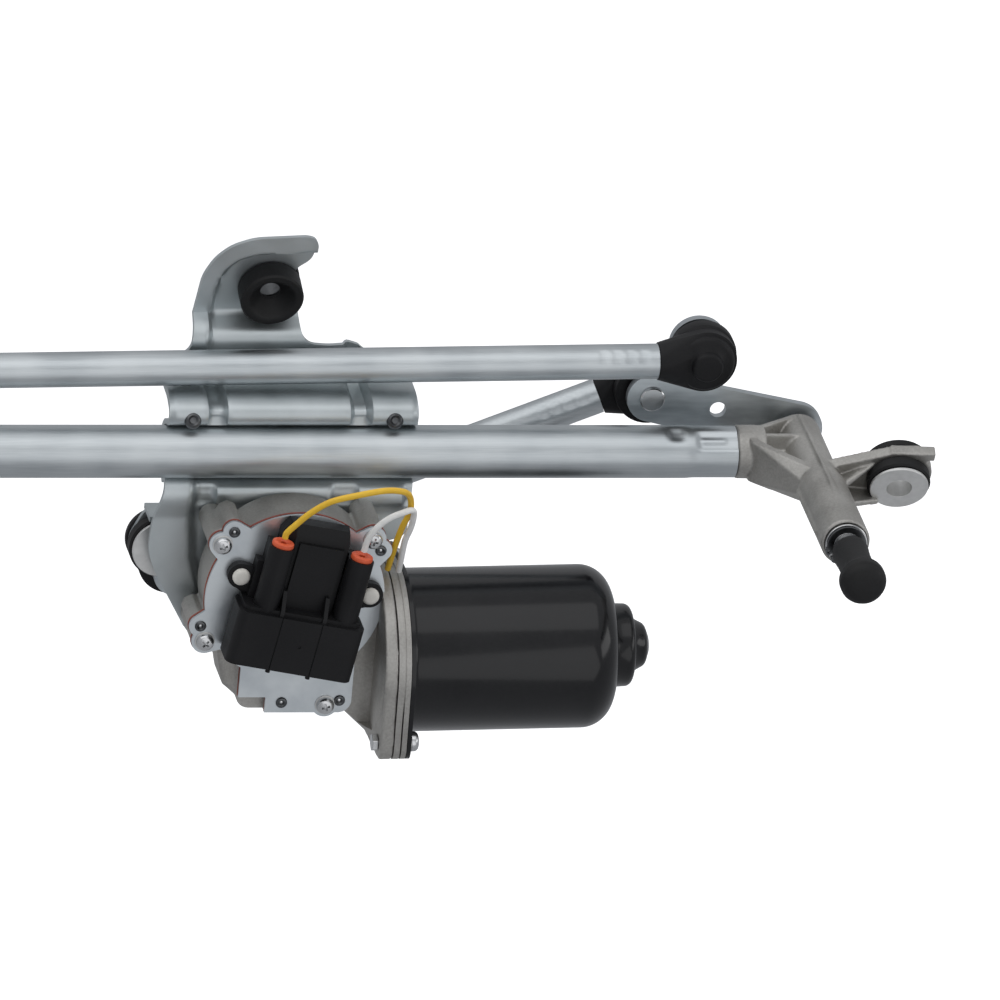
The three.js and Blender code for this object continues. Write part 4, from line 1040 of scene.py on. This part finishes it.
# ---- motor ----
def motor():
    place = to_motor()
    plate_body = cut(flange(*PLATE_FLANGE), rod((46, 0, 0), (53, 0, 0), 13))
    rebate = cut(rod((49.0, 0, 0), (49.7, 0, 0), 60, 0, 96), rod((48, 0, 0), (51, 0, 0), 40.4, 0, 96))
    plate_body = cut(plate_body, rebate)
    holders = [block(51, 66, y, y + 15, -6, -3.2) for y in (11, -26)]
    show(moved(join(plate_body, *holders), place), "brush_plate_cast", "frame", "cast_alloy",
         ["brush_plate"], bevel=0.5, segments=2)
    inner = 35.2
    bend = arc((37 - 14, 150 - 14), 14, 0, 90, 18)
    shell = [(inner, 52.3), (38, 52.3), (38, 53.6), (37.4, 54.6), (37, 56), *bend, (20.6, 150),
            (19.4, 150.4),
            (19, 151.2), (18.8, 156), *arc((15.6, 156.4), 3.2, 10, 80, 6), (12.8, 160), (12, 161),
            (11.2, 162.4),
            *arc((6.5, 162.4), 4.2, 20, 70, 5), (4.5, 167.6), (0, 168), (0, 159.0), (8, 159), (8, 158),
            (10, 157.6), (10, 148.2), *[(r, z) for r, z in arc((inner - 14, 148.2 - 14), 14, 90, 0, 10)],
            (inner, 52.3)]
    can = revolve([*shell[:-1], shell[0]], 128, axis=X_AXIS)
    lip = cut(flange(*CAN_FLANGE), rod((51, 0, 0), (56, 0, 0), inner + 0.5, 0, 128))
    can = join(can, lip)
    drain = rod((139, 8, -40), (139, 8, -30), 2.0)
    can = cut(can, drain)
    show(moved(can, place), "motor_can_drawn", "frame", "can_paint", ["motor_can"], bevel=0.3, sharp=40)
    for i, (y, z) in enumerate(CAN_SCREWS):
        head = moved(phillips(4.6, 3.4), spin(math.pi / 2, "Y"))
        screw = join(moved(head, shift(55.2, y, z)), rod((38, y, z), (55.4, y, z), 2))
        show(moved(screw, place), f"can_screw_{i + 1}_rolled", "frame", "bright_steel",
             [f"can_screw_{i + 1}"], sharp=30)
        lock = across(revolve([(2.1, 54.2), (5.2, 54.2), (5.2, 54.9), (2.1, 55.2), (2.1, 54.2)], 40))
        show(moved(moved(lock, shift(0, y, z)), place), f"can_screw_washer_{i + 1}", "frame",
             "bright_washer", bevel=0.1)
        nut = moved(across(hexagon(4.2, 37.2, 39.8)), shift(0, y, z))
        show(moved(nut, place), f"can_nut_{i + 1}", "frame", "bright_steel", bevel=0.3)


# ---- crank ----
def crank():
    cx, cy = GEAR.x, GEAR.y
    low, high = span("crank_arm")
    pin_low, pin_high = span("crank_ball_stud")
    px, py = (pin_low.x + pin_high.x) / 2, (pin_low.y + pin_high.y) / 2
    arm = join(band([(cx, cy, 12.5), (px, py, 10.5)], -30, -24),
            revolve([(0, -25), (5.6, -25), (5.6, -22.6), (4.8, -21.8), (0, -21.8)], 40, (px, py, 0)))
    arm = cut(arm, rod((cx, cy, -31), (cx, cy, -23), 5.3))
    show(arm, "crank_arm_stamped", "crank", "zinc_sheet", ["crank_arm"], bevel=0.8, segments=3)
    nut = cut(hexagon(8.6, -36.3, -30.3, cx, cy), rod((cx, cy, -40), (cx, cy, -20), 5.3))
    show(nut, "crank_nut_turned", "crank", "bright_steel", ["crank_nut"], bevel=0.7, segments=3)
    return Vector((px, py, DRIVE_LEVER.z))


# ---- connector ----
CONNECTOR_PLACE, CONNECTOR_TURN = (0.8, -57.2), math.radians(-10.5)
LEAD_END = 31  # how far the lead tubes reach


def connector():
    base = span("gear_cover")[1].z
    place = Matrix.Translation((*CONNECTOR_PLACE, base)) @ spin(CONNECTOR_TURN, "Z")
    tubes = (-16.8, 20.4)
    cell_middles = (-18.2, 0, 18.2)
    tabs = ((-29.3, 9.7, -14), (31.3, 11.1, 14))

    def soft_block(x0, x1, y0, y1, z0, z1, r):
        """A block with round corners seen from the front of the shroud."""
        outline = hull_outline([(x, z, r) for x in (x0 + r, x1 - r) for z in (z0 + r, z1 - r)], 10)
        shape = plate(outline, -y1, -y0)
        return moved(shape, Matrix(((1, 0, 0, 0), (0, 0, -1, 0), (0, 1, 0, 0), (0, 0, 0, 1))))
    body = join(
        soft_block(-29.5, 29.5, -26.5, -0.5, 0.3, 20, 4.5),
        soft_block(-27.2, 27.2, -1.5, 1.6, 0.3, 17.5, 3),
        hull([(x, y, z) for x, z in ((-9.5, 0.3), (12.8, 0.3), (-8.6, 11), (12.2, 11))
            for y in (-1, 33)]),
        hull([(x, y, z) for x, z in ((-17, 0.3), (15, 0.3), (-16, 9.4), (14.2, 9.4)) for y in (-1, 36)]
            + [(x, 41.3, z) for x, z in ((-14, 0.3), (14, 0.3), (-13, 7.8), (13.2, 7.8))]),
        block(-24.5, 24.5, -1, 20, 0.3, 7),
        *[rod((x, -1, 12), (x, LEAD_END, 12), 5.9, 0, 48) for x in tubes],
        *[hull([(x + s * 4.4, y, z) for s in (-1, 1) for y, z in ((-1, 12), (-1, 0.3), (30, 0.3),
        (30, 9))]) for x in tubes],
        *[band([(x, y, 6), (inside, y - 2, 6)], 0.3, 4) for x, y, inside in tabs],
        *[band([(x, y, 6), (inside, y - 2, 6), (inside, y - 10, 4)], 0.3, 2.6) for x, y, inside in tabs],
        *[hull([(x + s * 0.9, y, z) for s in (-1, 1) for y, z in ((-1, 4), (-1, 18.6), (2, 18.4),
        (10, 13.2), (10, 4))]) for x in (-9.9, 10.1)],
        *[rod((x, -28, 18.6), (x, -24, 18.6), 1.1, 0, 24) for x in (-9.4, 9.4)],
    )
    grooves = [hull([(x + s * 0.35, -10, 20.6) for s in (-1, 1)] + [(x + s * 0.28, -10, 19.55)
            for s in (-1, 1)] + [(x + s * 0.3, y, 20.4) for s in (-1, 1) for y in (-28.4, 0.4)]
            + [(x, y, 19.5) for y in (-28.4, 0.4)]) for x in (-9.4, 9.4)]
    cells = [block(m - 8.3, m + 8.3, -29, -5, 2.3, 18) for m in cell_middles]
    bores = [rod((x, LEAD_END - 11, 12), (x, LEAD_END + 1, 12), 3.4) for x in tubes]
    mouths = [rod((x, LEAD_END, 12), (x, LEAD_END + 16, 12), 6.5) for x in tubes]
    holes = [rod((x, y, -1), (x, y, 5), 2.5) for x, y, _ in tabs]
    body = cut(body, *grooves, *cells, *bores, *mouths, *holes,
            rod((1.5, -13, 19.6), (1.5, -13, 21), 0.8))
    show(moved(body, place), "connector_housing_moulded", "frame", "black_plastic", ["connector_housing"],
         bevel=0.55, segments=2, sharp=30)
    for m, x in enumerate(cell_middles):
        blade = hull([(x + s * 3.2, y, 10 + t * 0.4) for s in (-1, 1) for t in (-1, 1) for y in (-5, -16)]
                + [(x + s * 2.2, -18, 10 + t * 0.15) for s in (-1, 1) for t in (-1, 1)])
        show(moved(blade, place), f"connector_blade_{m + 1}", "frame", "bronze")
    for i, (x, y, _) in enumerate(tabs):
        rivet = revolve([(0, 0.3), (2.2, 0.3), (2.2, 4.1), (3.7, 4.1), (4.0, 4.4), (4.0, 5.3), (3.4, 6.1),
                (2.6, 6.5), (1.2, 6.6), (0, 6.6)], 48, (x, y, 0))
        show(moved(rivet, place), f"connector_rivet_{i + 1}_moulded", "frame", "white_nylon",
             [f"connector_rivet_{i + 1}"])
    for i, x in enumerate(tubes):
        seal = revolve([(1.46, -10), (3.1, -10), (3.1, -0.2), (4.9, 0.1), (5.1, 0.9), (4.9, 1.9),
                (4.2, 2.3), (3.0, 2.4), (2.2, 1.9), (1.46, 1.6), (1.46, -10)], 48)
        seal = moved(seal, shift(x, LEAD_END, 12) @ spin(-math.pi / 2, "X"))
        show(moved(seal, place), f"wire_seal_{i + 1}_moulded", "frame", "orange_seal",
             [f"wire_seal_{i + 1}"])


# ---- build ----
studio()
finishes()
dress_nodes()
lead("yellow_lead", "yellow_wire", YELLOW_ROUTE, "yellow_insulation")
lead("white_lead", "white_wire", WHITE_ROUTE, "white_insulation")
frame_tube()
pivot_housings()
MIRROR = Vector((-1, 1, 1))
for name, at, way in (("right", RIGHT, Vector((1, 1, 1))), ("left", LEFT, MIRROR)):
    rubber_mount(name, at + EAR_FACE * way, EAR_LEAN * way, EAR_FRONT, EAR_BACK)
rubber_mount("upper", UPPER_FACE, UPPER_AXIS, 11, 13.5, recess=True)
rubber_mount("lower", LOWER_FACE, Z_AXIS, 8.7, 11.2)
motor_bracket()
for side, at, balls in (("right", RIGHT, (CROSS_RIGHT, DRIVE_LEVER)), ("left", LEFT, (CROSS_LEFT,))):
    body = side + "_pivot"
    lever(side + "_lever", body, at, balls, (at.x - 36.6, at.y + 9.8) if side == "right" else None)
    stud(side + "_cross_stud", body, balls[0], CROSS_RIGHT.z + 26, 1)
    pivot_parts(side, at)
stud("right_drive_stud", "right_pivot", DRIVE_LEVER, -26 - DRIVE_LEVER.z, -1)
CRANK_PIN = crank()
link("cross_link", "cross_link", CROSS_LEFT, CROSS_RIGHT, -1, (("left", 10.4), ("right", 10.4)))
link("drive_link", "drive_link", CRANK_PIN, DRIVE_LEVER, 1, (("crank", 8.4), ("lever", 15)))
gear_housing()
gear_cover()
cover_screws()
motor()
connector()
